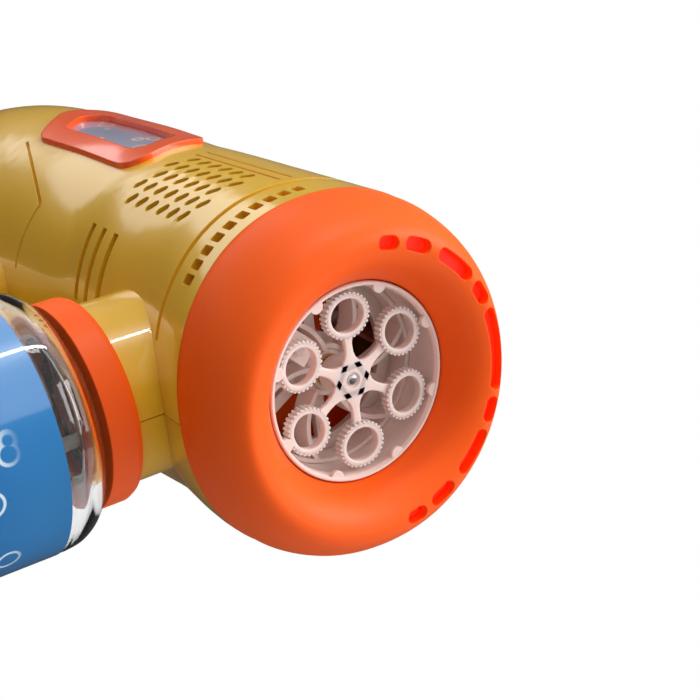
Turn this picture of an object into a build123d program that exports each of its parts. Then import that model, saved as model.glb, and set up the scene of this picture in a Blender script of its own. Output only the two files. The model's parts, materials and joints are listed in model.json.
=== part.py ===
"""Hand-held bubble machine: round barrel, ring nose with a wand wheel, bottle under the front, grip.

Millimetres.  The model is drawn about the barrel: X across, +Z up, +Y from the nose to the back,
with zero on the barrel's axis at the mouth of the wand tray.  Every piece is written with the
bottle's base at Z = 0 and the model's length centred on Y = 0.
"""
from build123d import *
from math import cos, pi, radians, sin, sqrt
import os

# ---- driving dimensions ------------------------------------------------------------------
AXIS_HEIGHT = 121.0          # barrel axis above the surface the toy stands on
WALL = 2.2                   # moulded wall of the shells
SEAM = 0.1                   # each shell half stops this far from the middle plane

BARREL_HALF_WIDTH = 38.6
BARREL_RISE = 36.5           # axis to top
NOSE_DROP = 36.5             # axis to bottom at the nose
BARREL_DROP = 32.0           # axis to bottom behind the bottle
DROP_FROM = 10.5             # the underside rises between these two stations
DROP_TO = 42.0
SQUARENESS = 2.15            # exponent of the section's superellipse
SHELL_FRONT = 10.5
DOME_START = 132.0
DOME_LENGTH = 78.0

NOSE_FRONT = -7.6
CREST_R = 30.5
MOUTH_R = 21.6
NOSE_WALL = 2.4
SLEEVE_BACK = 26.0
SLOT_R = 30.6
SLOT_WIDTH = 3.0
CREST_LAND = 0.05            # the funnel starts this far ahead, which leaves a narrow flat crest
FUNNEL_BACK = 4.1            # just clear of the tray's flange
SLEEVE_GAP = 0.15            # between the nose's sleeve and the shells
SLEEVE_WALL = 1.6

TRAY_R = 21.3
TRAY_IN_R = 20.2
TRAY_DEPTH = 18.0
FLANGE_R = 33.2
FLANGE = (4.2, 5.6)
NOZZLE_PLACE = (13.2, 226)   # radius and angle of the nozzle that wets the wands
WAND_COUNT = 6
WAND_CENTRE_R = 14.3
WAND_R = 5.2
WAND_HOLE_R = 4.0
WAND_TEETH = 30
WHEEL_FRONT = 1.9
WHEEL_BACK = 4.3
PIN_SEAT = 2.5               # floor of the dimple in the hub's front
SHAFT_R = 1.5
RUNNING = 0.05               # radial clearance of a shaft in its bush

BULKHEAD = (26.5, 29.0)
REAR_PLATE = (39.6, 41.6)
PILLARS = [(-18.0, -5.5), (-16.0, 12.0), (19.0, 11.5), (17.0, -17.0)]
FAN_Z = 20.5
FAN_R = 11.0
MODULE = 0.5
WHEEL_TEETH = 32
PUMP_TEETH = 48
IDLER_SMALL_TEETH = 12
IDLER_LARGE_TEETH = 36
PINION_TEETH = 10
GEAR_FACE = (31.0, 35.0)
REDUCTION_FACE = (36.0, 38.5)
IDLER_ANGLE = -17.0
PINION_ANGLE = 10.0
MOTOR_R = 10.0
MOTOR_FLAT = 7.6
MOTOR_LENGTH = 25.0
TERMINAL_END = 2.6           # terminals reach this far behind the can
LEADS_FROM = REAR_PLATE[1] + MOTOR_LENGTH + TERMINAL_END + 0.1

BOTTLE_Y = 37.8
STUB_R = 19.7
STUB_BORE_R = 17.6
COLLAR_R = 22.4
COLLAR_TOP = -42.0
COLLAR_BOTTOM = -49.6
COLLAR_SEAT = -46.8          # floor of the collar's channel, just under the stub's end
STUB_END = -46.5
BOTTLE_R = 27.7
BOTTLE_TOP = -50.0
NECK_R = 15.2
NECK_TOP = -37.0
BOTTLE_WALL = 1.1
LABEL_TOP = -61.6
LABEL_BOTTOM = -112.0

TUBE_R = 1.4
PUMP_LOOP_R = 8.1
TUBE_ROOM = TUBE_R + 0.1
PUMP_Y = 46.5
TUBE_PASS = (-16.5, -23.5)   # X and Z where the feed tube goes forward

CELL_R = 7.25
CELL_LENGTH = 50.0
CELL_X = 0.0
CELL_FIRST_Y = 114.8
CELL_LOW_Z = -115.9
CELL_PITCH = 14.6

TRIGGER_Z = -50.0
DOOR = (109.0, 150.0, -113.5, -67.5)     # front, back, low and top of the battery door
DOOR_GAP = 0.2
DOOR_SCREW = (129.5, -109.5)
SCREW_PLACES = [(68.0, -22.0), (76.0, 28.5), (131.0, 28.5), (186.0, 0.0), (147.5, -50.0), (110.0, -31.0)]
BADGE_OUTLINE = [(65.0, -10.8), (113.0, -10.8), (125.5, 3.0), (120.0, 14.0), (73.5, 14.0)]
BADGE_WINDOW = [(72.5, -5.2), (109.5, -5.2), (116.0, 2.6), (113.5, 8.2), (77.5, 8.2)]
BADGE_SEAT = 1.2             # depth of the badge's seat in the shell
BADGE_CORNER = 5.5
WINDOW_CORNER = 3.5

BOARD_FACE = -11.2           # the driver board's inner face
BOARD_SCREWS = [(y, z) for y in (86.0, 114.0) for z in (-10.0, 8.0)]

PUMP_Z = -MODULE * (WHEEL_TEETH + PUMP_TEETH) / 2
IDLER_DISTANCE = MODULE * (WHEEL_TEETH + IDLER_SMALL_TEETH) / 2
IDLER_X = IDLER_DISTANCE * cos(radians(IDLER_ANGLE))
IDLER_Z = IDLER_DISTANCE * sin(radians(IDLER_ANGLE))
PINION_DISTANCE = MODULE * (IDLER_LARGE_TEETH + PINION_TEETH) / 2
PINION_X = IDLER_X + PINION_DISTANCE * cos(radians(PINION_ANGLE))
PINION_Z = IDLER_Z + PINION_DISTANCE * sin(radians(PINION_ANGLE))


# ---- drawing helpers ---------------------------------------------------------------------
def block(x, y, z):
    """Box between two limits on each axis."""
    size = [high - low for low, high in (x, y, z)]
    middle = [(high + low) / 2 for low, high in (x, y, z)]
    return Pos(*middle) * Box(*size)


def rod_y(radius, front, back, x=0.0, z=0.0):
    """Cylinder along Y."""
    return Pos(x, (front + back) / 2, z) * Rot(90, 0, 0) * Cylinder(radius, back - front)


def rod_z(radius, low, high, x=0.0, y=0.0):
    """Cylinder along Z."""
    return Pos(x, y, (low + high) / 2) * Cylinder(radius, high - low)


def rod_x(radius, left, right, y=0.0, z=0.0):
    """Cylinder along X."""
    return Pos((left + right) / 2, y, z) * Rot(0, 90, 0) * Cylinder(radius, right - left)


def tube_y(outer, inner, front, back, x=0.0, z=0.0):
    """Ring or tube along Y."""
    return rod_y(outer, front, back, x, z) - rod_y(inner, front - 1, back + 1, x, z)


def turned_y(points):
    """Solid of revolution about the barrel's axis from (radius, y) corners."""
    outline = make_face(Polyline(*[(radius, y, 0) for radius, y in points], close=True))
    return revolve(outline, Axis.Y)


def turned_z(points, y=0.0):
    """Solid of revolution about a vertical axis from (radius, z) corners."""
    outline = make_face(Polyline(*[(radius, 0, z) for radius, z in points], close=True))
    return Pos(0, y, 0) * revolve(outline, Axis.Z)


def side_prism(points, left, right, radius=0.0):
    """Outline of (y, z) corners, drawn on the side and pushed through from left to right."""
    outline = make_face(Polyline(*points, close=True))
    if radius:
        outline = fillet(outline.vertices(), radius)
    return extrude(Plane.YZ.offset(left) * outline, amount=right - left)


def spin_y(shape, angle):
    """Turn a shape about the barrel's axis; a positive angle goes from +X towards +Z."""
    return Rot(0, -angle, 0) * shape


def polar(radius, angle):
    """X and Z of a point at an angle measured from +X towards +Z."""
    return radius * cos(radians(angle)), radius * sin(radians(angle))


def degrees_at(length, radius):
    """Angle that a short arc takes at a radius."""
    return length / radius * 180 / pi


def joined(shapes):
    """Fuse a list of shapes."""
    shapes = list(shapes)
    result = shapes[0]
    for shape in shapes[1:]:
        result = result + shape
    return result


def hose(points, radii, radius, bore=0.0):
    """Round tube along straight runs joined by arcs."""
    path = FilletPolyline(*points, radius=radii) if radii else Polyline(*points)
    start = Plane(origin=path @ 0, z_dir=path % 0)
    solid = sweep(start * Circle(radius), path=path)
    if bore:
        solid = solid - sweep(start * Circle(bore), path=path)
    return solid


# ---- the barrel's surface ----------------------------------------------------------------
def drop_at(y):
    """Axis to underside at a station: deep at the nose, shallower behind the bottle."""
    blend = min(max((y - DROP_FROM) / (DROP_TO - DROP_FROM), 0.0), 1.0)
    blend = blend * blend * (3 - 2 * blend)
    return NOSE_DROP + (BARREL_DROP - NOSE_DROP) * blend


def section(y, half_width, rise, drop, squareness=SQUARENESS):
    """Closed barrel section: two half superellipses that meet upright at the sides."""
    halves = []
    for height, up in ((rise, 1), (-drop, -1)):
        points = []
        for step in range(13):
            angle = pi * step / 12
            across = abs(cos(angle)) ** (2 / squareness) * (1 if cos(angle) >= 0 else -1)
            points.append((half_width * across, height * abs(sin(angle)) ** (2 / squareness)))
        points[6] = (0.0, height)
        halves.append(Spline(*points, tangents=[(0, up), (0, -up)], tangent_scalars=(1.0, 1.0)))
    return Plane.XZ.offset(-y) * make_face(halves)


def barrel_body(inset=0.0, front=SHELL_FRONT):
    """Barrel and its domed back, moved inwards by a wall thickness or outwards if negative."""
    sections = []
    for y in (front, 16.0, 22.0, 29.0, 36.0, 44.0, 60.0, 84.0, 108.0, DOME_START):
        sections.append(section(y, BARREL_HALF_WIDTH - inset, BARREL_RISE - inset, drop_at(y) - inset))
    for angle in (12, 24, 35, 45, 54, 62, 69, 75, 80, 84, 87):
        shrink = cos(radians(angle))
        y = DOME_START + (DOME_LENGTH - inset) * sin(radians(angle))
        sections.append(section(y, (BARREL_HALF_WIDTH - inset) * shrink, (BARREL_RISE - inset) * shrink,
                                (BARREL_DROP - inset) * shrink))
    return loft(sections)


def side_x(y, z):
    """How far out the barrel's side is at a station and height."""
    shrink = sqrt(1 - max(0.0, (y - DOME_START) / DOME_LENGTH) ** 2)
    height = (BARREL_RISE if z > 0 else drop_at(y)) * shrink
    return BARREL_HALF_WIDTH * shrink * (1 - abs(z / height) ** SQUARENESS) ** (1 / SQUARENESS)


GRIP_STATIONS = [
    # height, front edge, back edge, half width
    (-16.0, 96.0, 172.0, 14.2),
    (-34.0, 98.0, 163.0, 14.3),
    (-48.0, 98.8, 158.4, 14.6),
    (-64.0, 102.2, 156.2, 15.0),
    (-80.0, 103.0, 156.4, 15.2),
    (-96.0, 102.6, 157.4, 15.2),
    (-110.0, 101.6, 159.4, 15.1),
    (-121.0, 101.2, 160.8, 15.0),
]


def grip_body(inset=0.0):
    """Grip as rounded rectangles of changing depth, moved inwards by a wall thickness."""
    sections = []
    for height, front, back, half_width in GRIP_STATIONS:
        level = max(height, -AXIS_HEIGHT + inset)
        outline = RectangleRounded(2 * (half_width - inset), back - front - 2 * inset, 9.0 - inset)
        sections.append(Pos(0, (front + back) / 2, level) * outline)
    return loft(sections)


# ---- shells ------------------------------------------------------------------------------
def radial_frame(y, angle):
    """Plane on the barrel's axis whose normal points out of the right side at an angle below X."""
    out = (-cos(radians(angle)), 0, -sin(radians(angle)))
    return Plane(origin=(0, y, 0), x_dir=(0, 1, 0), z_dir=out)


def vent_cutters():
    """Openings in the barrel's right side: square row, slanted hole grid and three slots."""
    cutters = []
    for index in range(10):
        frame = radial_frame(15.6, 45.2 - 5.15 * index)
        window = RectangleRounded(3.4, 2.3, 0.45)
        cutters.append(extrude(frame.offset(25) * window, amount=20))
    for row in range(5):
        holes = 6 if row % 2 == 0 else 7
        first = 33.4 if row % 2 == 0 else 31.15
        for index in range(holes):
            frame = radial_frame(first + 4.5 * index, 26.2 - 6.4 * row)
            hole = Rot(0, 0, 53) * SlotOverall(3.7, 1.9)
            cutters.append(extrude(frame.offset(22) * hole, amount=22))
    for y in (47.6, 53.2, 58.9):
        wedge = make_face(Polyline((0, 0), polar(60, 180 + 43), polar(60, 180 + 70), close=True))
        band = extrude(Plane.XZ.offset(-y) * wedge, amount=-2.0)
        cutters.append(Pos(0, 2.6, 0) * Rot(3.5, 0, 0) * band)
    return cutters


def surface_lines():
    """Shallow lines moulded into the barrel's right side, as cutters 0.8 mm deep."""
    skin = barrel_body(-1.0) - barrel_body(0.8)
    lines = []
    for start, end in (((118.0, -12.0), (90.4, -23.2)), ((90.4, -23.2), (94.5, -30.5)),
                       ((25.0, 2.6), (60.0, 2.6)), ((25.0, 5.6), (60.0, 5.6))):
        run = (end[0] - start[0], end[1] - start[1])
        length = sqrt(run[0] ** 2 + run[1] ** 2)
        across = (-run[1] / length * 0.35, run[0] / length * 0.35)
        corners = [(start[0] + across[0], start[1] + across[1]), (end[0] + across[0], end[1] + across[1]),
                   (end[0] - across[0], end[1] - across[1]), (start[0] - across[0], start[1] - across[1])]
        lines.append(side_prism(corners, -45, -8) & skin)
    return lines


def band_groove():
    """Groove round the barrel behind the nose, open at the bottom where the stub is."""
    outer = extrude(section(21.0, 42.0, 42.0, 42.0), amount=-1.6)
    inner = extrude(section(20.0, BARREL_HALF_WIDTH - 1.1, BARREL_RISE - 1.1, drop_at(21.8) - 1.1), amount=-4)
    return outer - inner - block((-14, 14), (15, 30), (-50, 0))


def bosses(side):
    """Screw bosses of one half; side is -1 on the right and 1 on the left."""
    posts = []
    for y, z in SCREW_PLACES:
        radius = 3.4 if side < 0 else 4.2
        posts.append(rod_x(radius, *sorted((side * SEAM, side * 38.0)), y=y, z=z))
    return posts


def casing():
    """Both halves as one hollow moulding, before the seam is cut."""
    stub = rod_z(STUB_R, STUB_END, -20.0, y=BOTTLE_Y)
    outside = barrel_body() + grip_body() + stub
    inside = barrel_body(WALL, front=SHELL_FRONT - 2) + grip_body(WALL)
    inside = inside + rod_z(STUB_BORE_R, -50.0, -15.0, y=BOTTLE_Y)
    return outside, inside


def badge_recess(depth):
    """Cutter for a badge's seat in the barrel's right side."""
    return side_prism(BADGE_OUTLINE, -46, -22, BADGE_CORNER) - barrel_body(depth)


def trigger_slot():
    """Opening in the grip's front for the trigger."""
    return block((-6.4, 6.4), (90, 106), (TRIGGER_Z - 10.4, TRIGGER_Z + 10.4))


def door_space(gap=0.0):
    """Prism through the grip's left wall in the battery door's outline, less a gap all round."""
    front, back, low, top = DOOR[0] + gap, DOOR[1] - gap, DOOR[2] + gap, DOOR[3] - gap
    corners = [(front, low), (back, low), (back, top), (front, top)]
    return side_prism(corners, 8.0, 20.0, 3.0 - gap)


def shells():
    """Right half, left half and the battery door."""
    outside, inside = casing()
    hollow = outside - inside - trigger_slot() - band_groove()
    features = vent_cutters() + surface_lines() + [badge_recess(BADGE_SEAT)]
    right = hollow & block((-60, -SEAM), (-20, 230), (-130, 60))
    left = hollow & block((SEAM, 60), (-20, 230), (-130, 60))
    right = right + (joined(bosses(-1)) & outside)
    left = left + (joined(bosses(1)) & outside)
    for feature in features:
        right = right - feature
        left = left - mirror(feature, Plane.YZ)
    for y, z in SCREW_PLACES:
        right = right - rod_x(1.15, -8.0, 0.0, y=y, z=z)
        left = left - rod_x(1.5, 0.0, 10.0, y=y, z=z) - rod_x(3.0, 6.0, 45.0, y=y, z=z)
    left = left - door_space()
    door = (grip_body() - grip_body(WALL)) & door_space(DOOR_GAP)
    door = door - rod_x(1.4, 8.0, 20.0, *DOOR_SCREW)
    return right, left, door


# ---- nose and lights ---------------------------------------------------------------------
def nose_body(inset=0.0):
    """Rounded outside of the nose, from its front crest back to the barrel."""
    sections = []
    depth = SHELL_FRONT - NOSE_FRONT - inset
    for angle in (0, 8, 17, 27, 38, 50, 62, 75, 90):
        grow = sin(radians(angle))
        full_reach = (BARREL_HALF_WIDTH, BARREL_RISE, NOSE_DROP)
        reach = [CREST_R + (full - inset - CREST_R) * grow for full in full_reach]
        sections.append(section(SHELL_FRONT - depth * cos(radians(angle)), *reach,
                                squareness=2 + (SQUARENESS - 2) * grow))
    return loft(sections)


def funnel(out=0.0, back=0.0):
    """Space inside the nose's mouth, moved outwards and backwards for a wall behind it."""
    crest = (CREST_R + out, NOSE_FRONT - CREST_LAND + back)
    mouth = (MOUTH_R + out, back + 0.4)
    slope = Spline(crest, mouth, tangents=[(-1.0, 0.12), (-0.62, 1.0)])
    ahead = NOSE_FRONT + back - 4
    rest = Polyline(mouth, (MOUTH_R + out, FUNNEL_BACK), (0, FUNNEL_BACK), (0, ahead),
                    (CREST_R + out, ahead), crest)
    return revolve(make_face([slope] + list(rest.edges())), Axis.Y)


def light_slots(width, front, back, trim=0.0):
    """Slots round the nose's top half and sides; trim shortens both ends of each, in degrees."""
    pieces = []
    spans = [(-17.5, 17.5)]
    for near, far in ((20.2, 31.0), (34.0, 54.0), (58.6, 71.0), (74.2, 83.6)):
        spans += [(near, far), (-far, -near)]
    end = degrees_at(width / 2, SLOT_R)
    for low, high in spans:
        low, high = 90 + low + end + trim, 90 + high - end - trim
        outer, inner = SLOT_R + width / 2, SLOT_R - width / 2
        middle = (low + high) / 2
        arcs = [ThreePointArc(polar(outer, low), polar(outer, middle), polar(outer, high)),
                Line(polar(outer, high), polar(inner, high)),
                ThreePointArc(polar(inner, high), polar(inner, middle), polar(inner, low)),
                Line(polar(inner, low), polar(outer, low))]
        piece = extrude(Plane.XZ.offset(-front) * make_face(arcs), amount=front - back)
        for angle in (low, high):
            x, z = polar(SLOT_R, angle)
            piece = piece + rod_y(width / 2, front, back, x, z)
        pieces.append(piece)
    return pieces


def sleeve_space(inset, front, back):
    """Straight length of the barrel's section as it is at the sleeve's end, moved inwards."""
    drop = drop_at(SLEEVE_BACK) - inset
    return extrude(section(front, BARREL_HALF_WIDTH - inset, BARREL_RISE - inset, drop), amount=front - back)


def nose_ring():
    """Orange nose with its funnel, light slots and the sleeve that goes into the shells."""
    sleeve = sleeve_space(WALL + SLEEVE_GAP, SHELL_FRONT - 3, SLEEVE_BACK)
    bore = sleeve_space(WALL + SLEEVE_GAP + SLEEVE_WALL, SHELL_FRONT - 4, SLEEVE_BACK + 2)
    hollow = nose_body(NOSE_WALL) - funnel(out=1.4, back=1.7)
    nose = nose_body() - hollow - funnel()
    nose = nose + (sleeve - bore)
    nose = nose - rod_y(MOUTH_R - 0.1, -1.0, 12.0)
    for slot in light_slots(SLOT_WIDTH, -9.0, -3.4):
        nose = nose - slot
    return nose


def light_diffuser():
    """Translucent ring behind the slots, with a raised pad in each."""
    ring = tube_y(31.9, 28.2, -3.0, -1.2)
    for pad in light_slots(SLOT_WIDTH - 0.3, -4.9, -2.9, trim=0.3):
        ring = ring + pad
    return ring


LED_ANGLES = [90 + 30 * k for k in range(-3, 4)]


def led_board():
    """Ring-shaped board behind the lights, resting on the wand tray's flange."""
    board = tube_y(32.6, 25.5, 2.6, 4.2)
    for angle in LED_ANGLES:
        x, z = polar(30.0, angle)
        for shift in (-1.27, 1.27):
            board = board - rod_y(0.4, 2.0, 5.0, x + shift, z)
    return board


def leds():
    """Domed lights on the ring board."""
    group = []
    for angle in LED_ANGLES:
        x, z = polar(30.0, angle)
        group.append(rod_y(1.5, -0.9, 2.6, x, z) + rod_y(1.9, 1.6, 2.6, x, z))
    return Compound(group)


# ---- wand tray, wheel and shaft ----------------------------------------------------------
def wand_tray():
    """White cup that the wands turn in: rim with nubs, vented floor, hub boss and flange."""
    cup = turned_y([(TRAY_R - 0.25, 0.0), (TRAY_R, 0.35), (TRAY_R, FLANGE[0]),
                    (FLANGE_R, FLANGE[0]), (FLANGE_R, FLANGE[1]),
                    (TRAY_R, FLANGE[1]), (TRAY_R, TRAY_DEPTH), (0, TRAY_DEPTH), (0, TRAY_DEPTH - 1.6),
                    (TRAY_IN_R, TRAY_DEPTH - 1.6), (TRAY_IN_R, 0.9), (TRAY_IN_R + 0.35, 0.0)])
    cup = cup + rod_y(4.4, 11.0, TRAY_DEPTH)
    for index in range(8):
        x, z = polar(TRAY_IN_R + 0.2, 22.5 + 45 * index)
        cup = cup + (rod_y(1.5, 0.15, 1.15, x, z) & rod_y(TRAY_R - 0.1, 0.0, 2.0))
    window = tube_y(17.0, 7.0, TRAY_DEPTH - 3, TRAY_DEPTH + 1)
    for index in range(WAND_COUNT):
        spoke = Pos(12, TRAY_DEPTH, 0) * Box(24, 8, 2.6)
        window = window - spin_y(spoke, 60 * index)
    return cup - window - rod_y(2.6, 5.0, 20.0)


def tray_bush():
    """Plain bearing in the tray's boss."""
    return tube_y(2.6, SHAFT_R + RUNNING, 11.0, TRAY_DEPTH) + tube_y(3.6, SHAFT_R + RUNNING, 10.2, 11.0)


def air_guide():
    """Six curved vanes behind the wands, on an inner and an outer ring."""
    guide = tube_y(TRAY_IN_R - 0.1, TRAY_IN_R - 1.0, 9.6, 14.0) + tube_y(5.6, 4.5, 11.2, 16.2)
    vane = tube_y(14.0, 13.0, 9.8, 15.0, x=12.4, z=6.0)
    vane = (vane & rod_y(TRAY_IN_R - 0.5, 9.0, 16.0) & block((-2, 22), (9, 16), (-12, 0.2))) - rod_y(4.9, 9, 17)
    for index in range(WAND_COUNT):
        guide = guide + spin_y(vane, 60 * index)
    return guide


def feed_nozzle():
    """Block that wets the passing wands, with a tube spigot behind it."""
    x, z = polar(*NOZZLE_PLACE)
    body = Pos(x, 7.3, z) * Rot(0, -46, 0) * Box(7.4, 2.2, 5.6)
    lip = rod_y(1.5, WHEEL_BACK + 0.6, 6.3, x, z)
    return body + lip + rod_y(1.15, 8.0, 19.2, x, z) - rod_y(0.6, 5.0, 20.0, x, z)


def wand(centre_x):
    """One bubble wand: a toothed ring about a point on the X axis."""
    corners = []
    for step in range(2 * WAND_TEETH):
        radius = WAND_R + (0.38 if step % 2 else -0.1)
        for nudge in (-0.35, 0.35):
            angle = (step + nudge) * 180 / WAND_TEETH
            corners.append((centre_x + radius * cos(radians(angle)), radius * sin(radians(angle))))
    ring = extrude(Plane.XZ.offset(-WHEEL_FRONT) * make_face(Polyline(*corners, close=True)),
                   amount=WHEEL_FRONT - WHEEL_BACK)
    return ring - rod_y(WAND_HOLE_R, 0, 8, x=centre_x)


def wand_wheel():
    """Six wands on flared arms round a hub."""
    wheel = turned_y([(0, 2.0), (3.4, 2.0), (4.2, 2.9), (4.2, 8.8), (0, 8.8)])
    arm = extrude(Plane.XZ.offset(-2.6) * make_face(Polyline((2.5, -3.0), (5.6, -1.15), (9.6, -0.9),
                  (9.6, 0.9), (5.6, 1.15), (2.5, 3.0), close=True)), amount=-1.6)
    for index in range(WAND_COUNT):
        wheel = wheel + spin_y(wand(WAND_CENTRE_R) + arm, 60 * index)
    return wheel - rod_y(SHAFT_R, 3.2, 10) - rod_y(0.8, 0, 10) - rod_y(1.7, 0, PIN_SEAT)


def wand_shaft():
    """Steel shaft from the wheel to its gear, tapped at the front."""
    return rod_y(SHAFT_R, 3.2, GEAR_FACE[1] + 0.3) - rod_y(0.72, 3.0, 8.6)


def wheel_screw():
    """Small round-headed pin in the hub's dimple, pressed into the shaft."""
    head = turned_y([(0, 1.8), (0.6, 1.85), (1.0, 2.05), (1.1, PIN_SEAT), (0, PIN_SEAT)])
    return head + rod_y(0.7, PIN_SEAT, 7.5)


# ---- gear train --------------------------------------------------------------------------
def spur_gear(teeth, face, bore, x=0.0, z=0.0, phase=0.0):
    """Straight-cut gear; phase is the angle of one tooth from +X towards +Z."""
    pitch = MODULE * teeth / 2
    corners = []
    for index in range(teeth):
        middle = phase + 360 * index / teeth
        for radius, half in ((pitch - 1.2 * MODULE, 0.60), (pitch, 0.41), (pitch + 0.85 * MODULE, 0.20)):
            corners.append(polar(radius, middle - half * 180 / teeth))
        for radius, half in ((pitch + 0.85 * MODULE, 0.20), (pitch, 0.41), (pitch - 1.2 * MODULE, 0.60)):
            corners.append(polar(radius, middle + half * 180 / teeth))
    disc = extrude(Plane.XZ.offset(-face[0]) * make_face(Polyline(*corners, close=True)),
                   amount=face[0] - face[1])
    gear = disc - rod_y(bore, face[0] - 1, face[1] + 1)
    if pitch > 6:
        web = tube_y(pitch - 1.8, bore + 1.6, face[0] - 1, face[0] + 0.9)
        gear = gear - web
    return Pos(x, 0, z) * gear


def gap_phase(teeth, angle):
    """Phase that puts a gap, not a tooth, at an angle."""
    return angle + 180 / teeth


def wheel_gear():
    """Gear on the wand shaft, with a tooth towards the pump and one towards the idler's gap."""
    return spur_gear(WHEEL_TEETH, GEAR_FACE, SHAFT_R, phase=-90)


def pump_gear():
    """Gear on the pump's shaft."""
    return spur_gear(PUMP_TEETH, GEAR_FACE, SHAFT_R, z=PUMP_Z, phase=gap_phase(PUMP_TEETH, 90))


def mesh_phase(driver_phase, driver_teeth, teeth, angle):
    """Phase of a gear that meshes with a driver whose centre lies back along an angle."""
    along = (angle - driver_phase) * driver_teeth / 360
    slip = along - round(along)
    return angle + 180 + 180 / teeth + slip * 360 / teeth


def idler_gear():
    """Double gear between the motor's pinion and the wand shaft's gear."""
    phase = mesh_phase(-90, WHEEL_TEETH, IDLER_SMALL_TEETH, IDLER_ANGLE)
    small = spur_gear(IDLER_SMALL_TEETH, (GEAR_FACE[0], REDUCTION_FACE[0]), 1.05, IDLER_X, IDLER_Z, phase)
    large = spur_gear(IDLER_LARGE_TEETH, REDUCTION_FACE, 1.05, IDLER_X, IDLER_Z, 0.0)
    return small + large


def idler_pin():
    """Fixed pin of the double gear."""
    return rod_y(1.0, BULKHEAD[0], REAR_PLATE[1], IDLER_X, IDLER_Z)


def motor_pinion():
    """Small gear on the drive motor's shaft."""
    phase = mesh_phase(0.0, IDLER_LARGE_TEETH, PINION_TEETH, PINION_ANGLE)
    return spur_gear(PINION_TEETH, REDUCTION_FACE, 1.0, PINION_X, PINION_Z, phase)


def motor_shaft(front, x, z):
    """Motor shaft from its gear or fan into the motor."""
    return rod_y(1.0, front, REAR_PLATE[1] + 4.0, x, z)


def small_motor(x, z):
    """Flat-sided can with a front bearing, an end cap and two terminals."""
    front = REAR_PLATE[1]
    can = rod_y(MOTOR_R, front, front + MOTOR_LENGTH, x, z)
    can = can & block((x - MOTOR_R, x + MOTOR_R), (front - 1, front + 40), (z - MOTOR_FLAT, z + MOTOR_FLAT))
    can = can + rod_y(3.0, front - 1.6, front, x, z) + rod_y(2.2, front, front + MOTOR_LENGTH + 1.4, x, z)
    for side in (-6.0, 6.0):
        can = can + block((x + side - 1, x + side + 1), (front + 20, front + MOTOR_LENGTH + TERMINAL_END),
                          (z - 0.25, z + 0.25))
    return can - rod_y(1.0 + RUNNING, front - 2, front + 5, x, z)


def plate_outline(face, inset, drop):
    """Plate that fills the barrel's section, less a margin."""
    plate = section(face[0], BARREL_HALF_WIDTH - inset, BARREL_RISE - inset, drop - inset)
    return extrude(plate, amount=face[0] - face[1])


def bulkhead():
    """Front gear plate and fan shroud across the barrel behind the nose's sleeve."""
    plate = plate_outline(BULKHEAD, WALL + 0.4, drop_at(BULKHEAD[1]))
    plate = plate + tube_y(FAN_R + 2.2, FAN_R + 0.8, BULKHEAD[1], 30.6, z=FAN_Z)
    plate = plate - rod_y(FAN_R + 0.8, 20, 40, z=FAN_Z) - rod_y(2.6, 20, 40)
    plate = plate - rod_y(SHAFT_R + RUNNING, 20, 40, z=PUMP_Z) - rod_y(1.0, 20, 40, IDLER_X, IDLER_Z)
    for x, z in PILLARS:
        plate = plate + (rod_y(2.4, BULKHEAD[1], REAR_PLATE[0], x, z) - rod_y(0.9, 30, 45, x, z))
    return plate - rod_y(TUBE_R + 0.2, 20, 40, *TUBE_PASS)


def bulkhead_bush():
    """Plain bearing of the wand shaft in the bulkhead."""
    return tube_y(2.6, SHAFT_R + RUNNING, BULKHEAD[0], BULKHEAD[1]) + tube_y(
        3.4, SHAFT_R + RUNNING, BULKHEAD[1], BULKHEAD[1] + 0.8)


def side_y_plate(corners):
    """Flat plate between the rear plate's faces from (x, z) corners."""
    outline = fillet(make_face(Polyline(*corners, close=True)).vertices(), 2.0)
    return extrude(Plane.XZ.offset(-REAR_PLATE[0]) * outline, amount=REAR_PLATE[0] - REAR_PLATE[1])


def rear_plate():
    """Rear gear plate that carries both motors and the pump."""
    outline = side_y_plate([(-21, -9), (-21, 15), (-6, 15), (-6, 27), (6, 27), (6, 15), (26, 15), (32, 8),
                            (32, -8), (20, -21), (11, -30.0), (-11, -30.0), (-13, -16)])
    plate = outline & plate_outline((39.0, 42.0), WALL + 0.6, BARREL_DROP)
    plate = plate - rod_y(3.0, 35, 45, z=FAN_Z) - rod_y(3.0, 35, 45, PINION_X, PINION_Z)
    plate = plate - rod_y(1.0, 35, 45, IDLER_X, IDLER_Z) - rod_y(SHAFT_R + RUNNING, 35, 45, z=PUMP_Z)
    for x, z in PILLARS:
        plate = plate - rod_y(1.2, 35, 45, x, z)
    return plate


def plate_screws():
    """Screws that hold the rear plate to the bulkhead's pillars."""
    group = []
    for x, z in PILLARS:
        head = rod_y(2.0, REAR_PLATE[1], REAR_PLATE[1] + 1.4, x, z)
        group.append(head + rod_y(0.85, REAR_PLATE[1] - 8, REAR_PLATE[1], x, z))
    return Compound(group)


def fan_impeller():
    """Axial fan: hub and seven pitched blades."""
    fan = rod_y(3.6, 30.4, 37.0)
    blade = Pos(6.8, 33.7, 0) * Rot(36, 0, 0) * Box(7.6, 7.6, 0.9)
    blade = blade & rod_y(FAN_R, 30.5, 36.9)
    for index in range(7):
        fan = fan + spin_y(blade, 360 * index / 7)
    return Pos(0, 0, FAN_Z) * (fan - rod_y(1.0, 31.4, 38.0))


# ---- pump and tubes ----------------------------------------------------------------------
def pump_rotor():
    """Peristaltic pump's rotor: shaft, two discs and three roller pins."""
    rotor = rod_y(SHAFT_R, BULKHEAD[0], 51.6)
    rotor = rotor + rod_y(6.4, 42.2, 43.6) + rod_y(6.4, 49.4, 50.8)
    for index in range(3):
        x, z = polar(4.4, 30 + 120 * index)
        rotor = rotor + rod_y(0.8, 43.0, 50.0, x, z)
    return Pos(0, 0, PUMP_Z) * rotor


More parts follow.
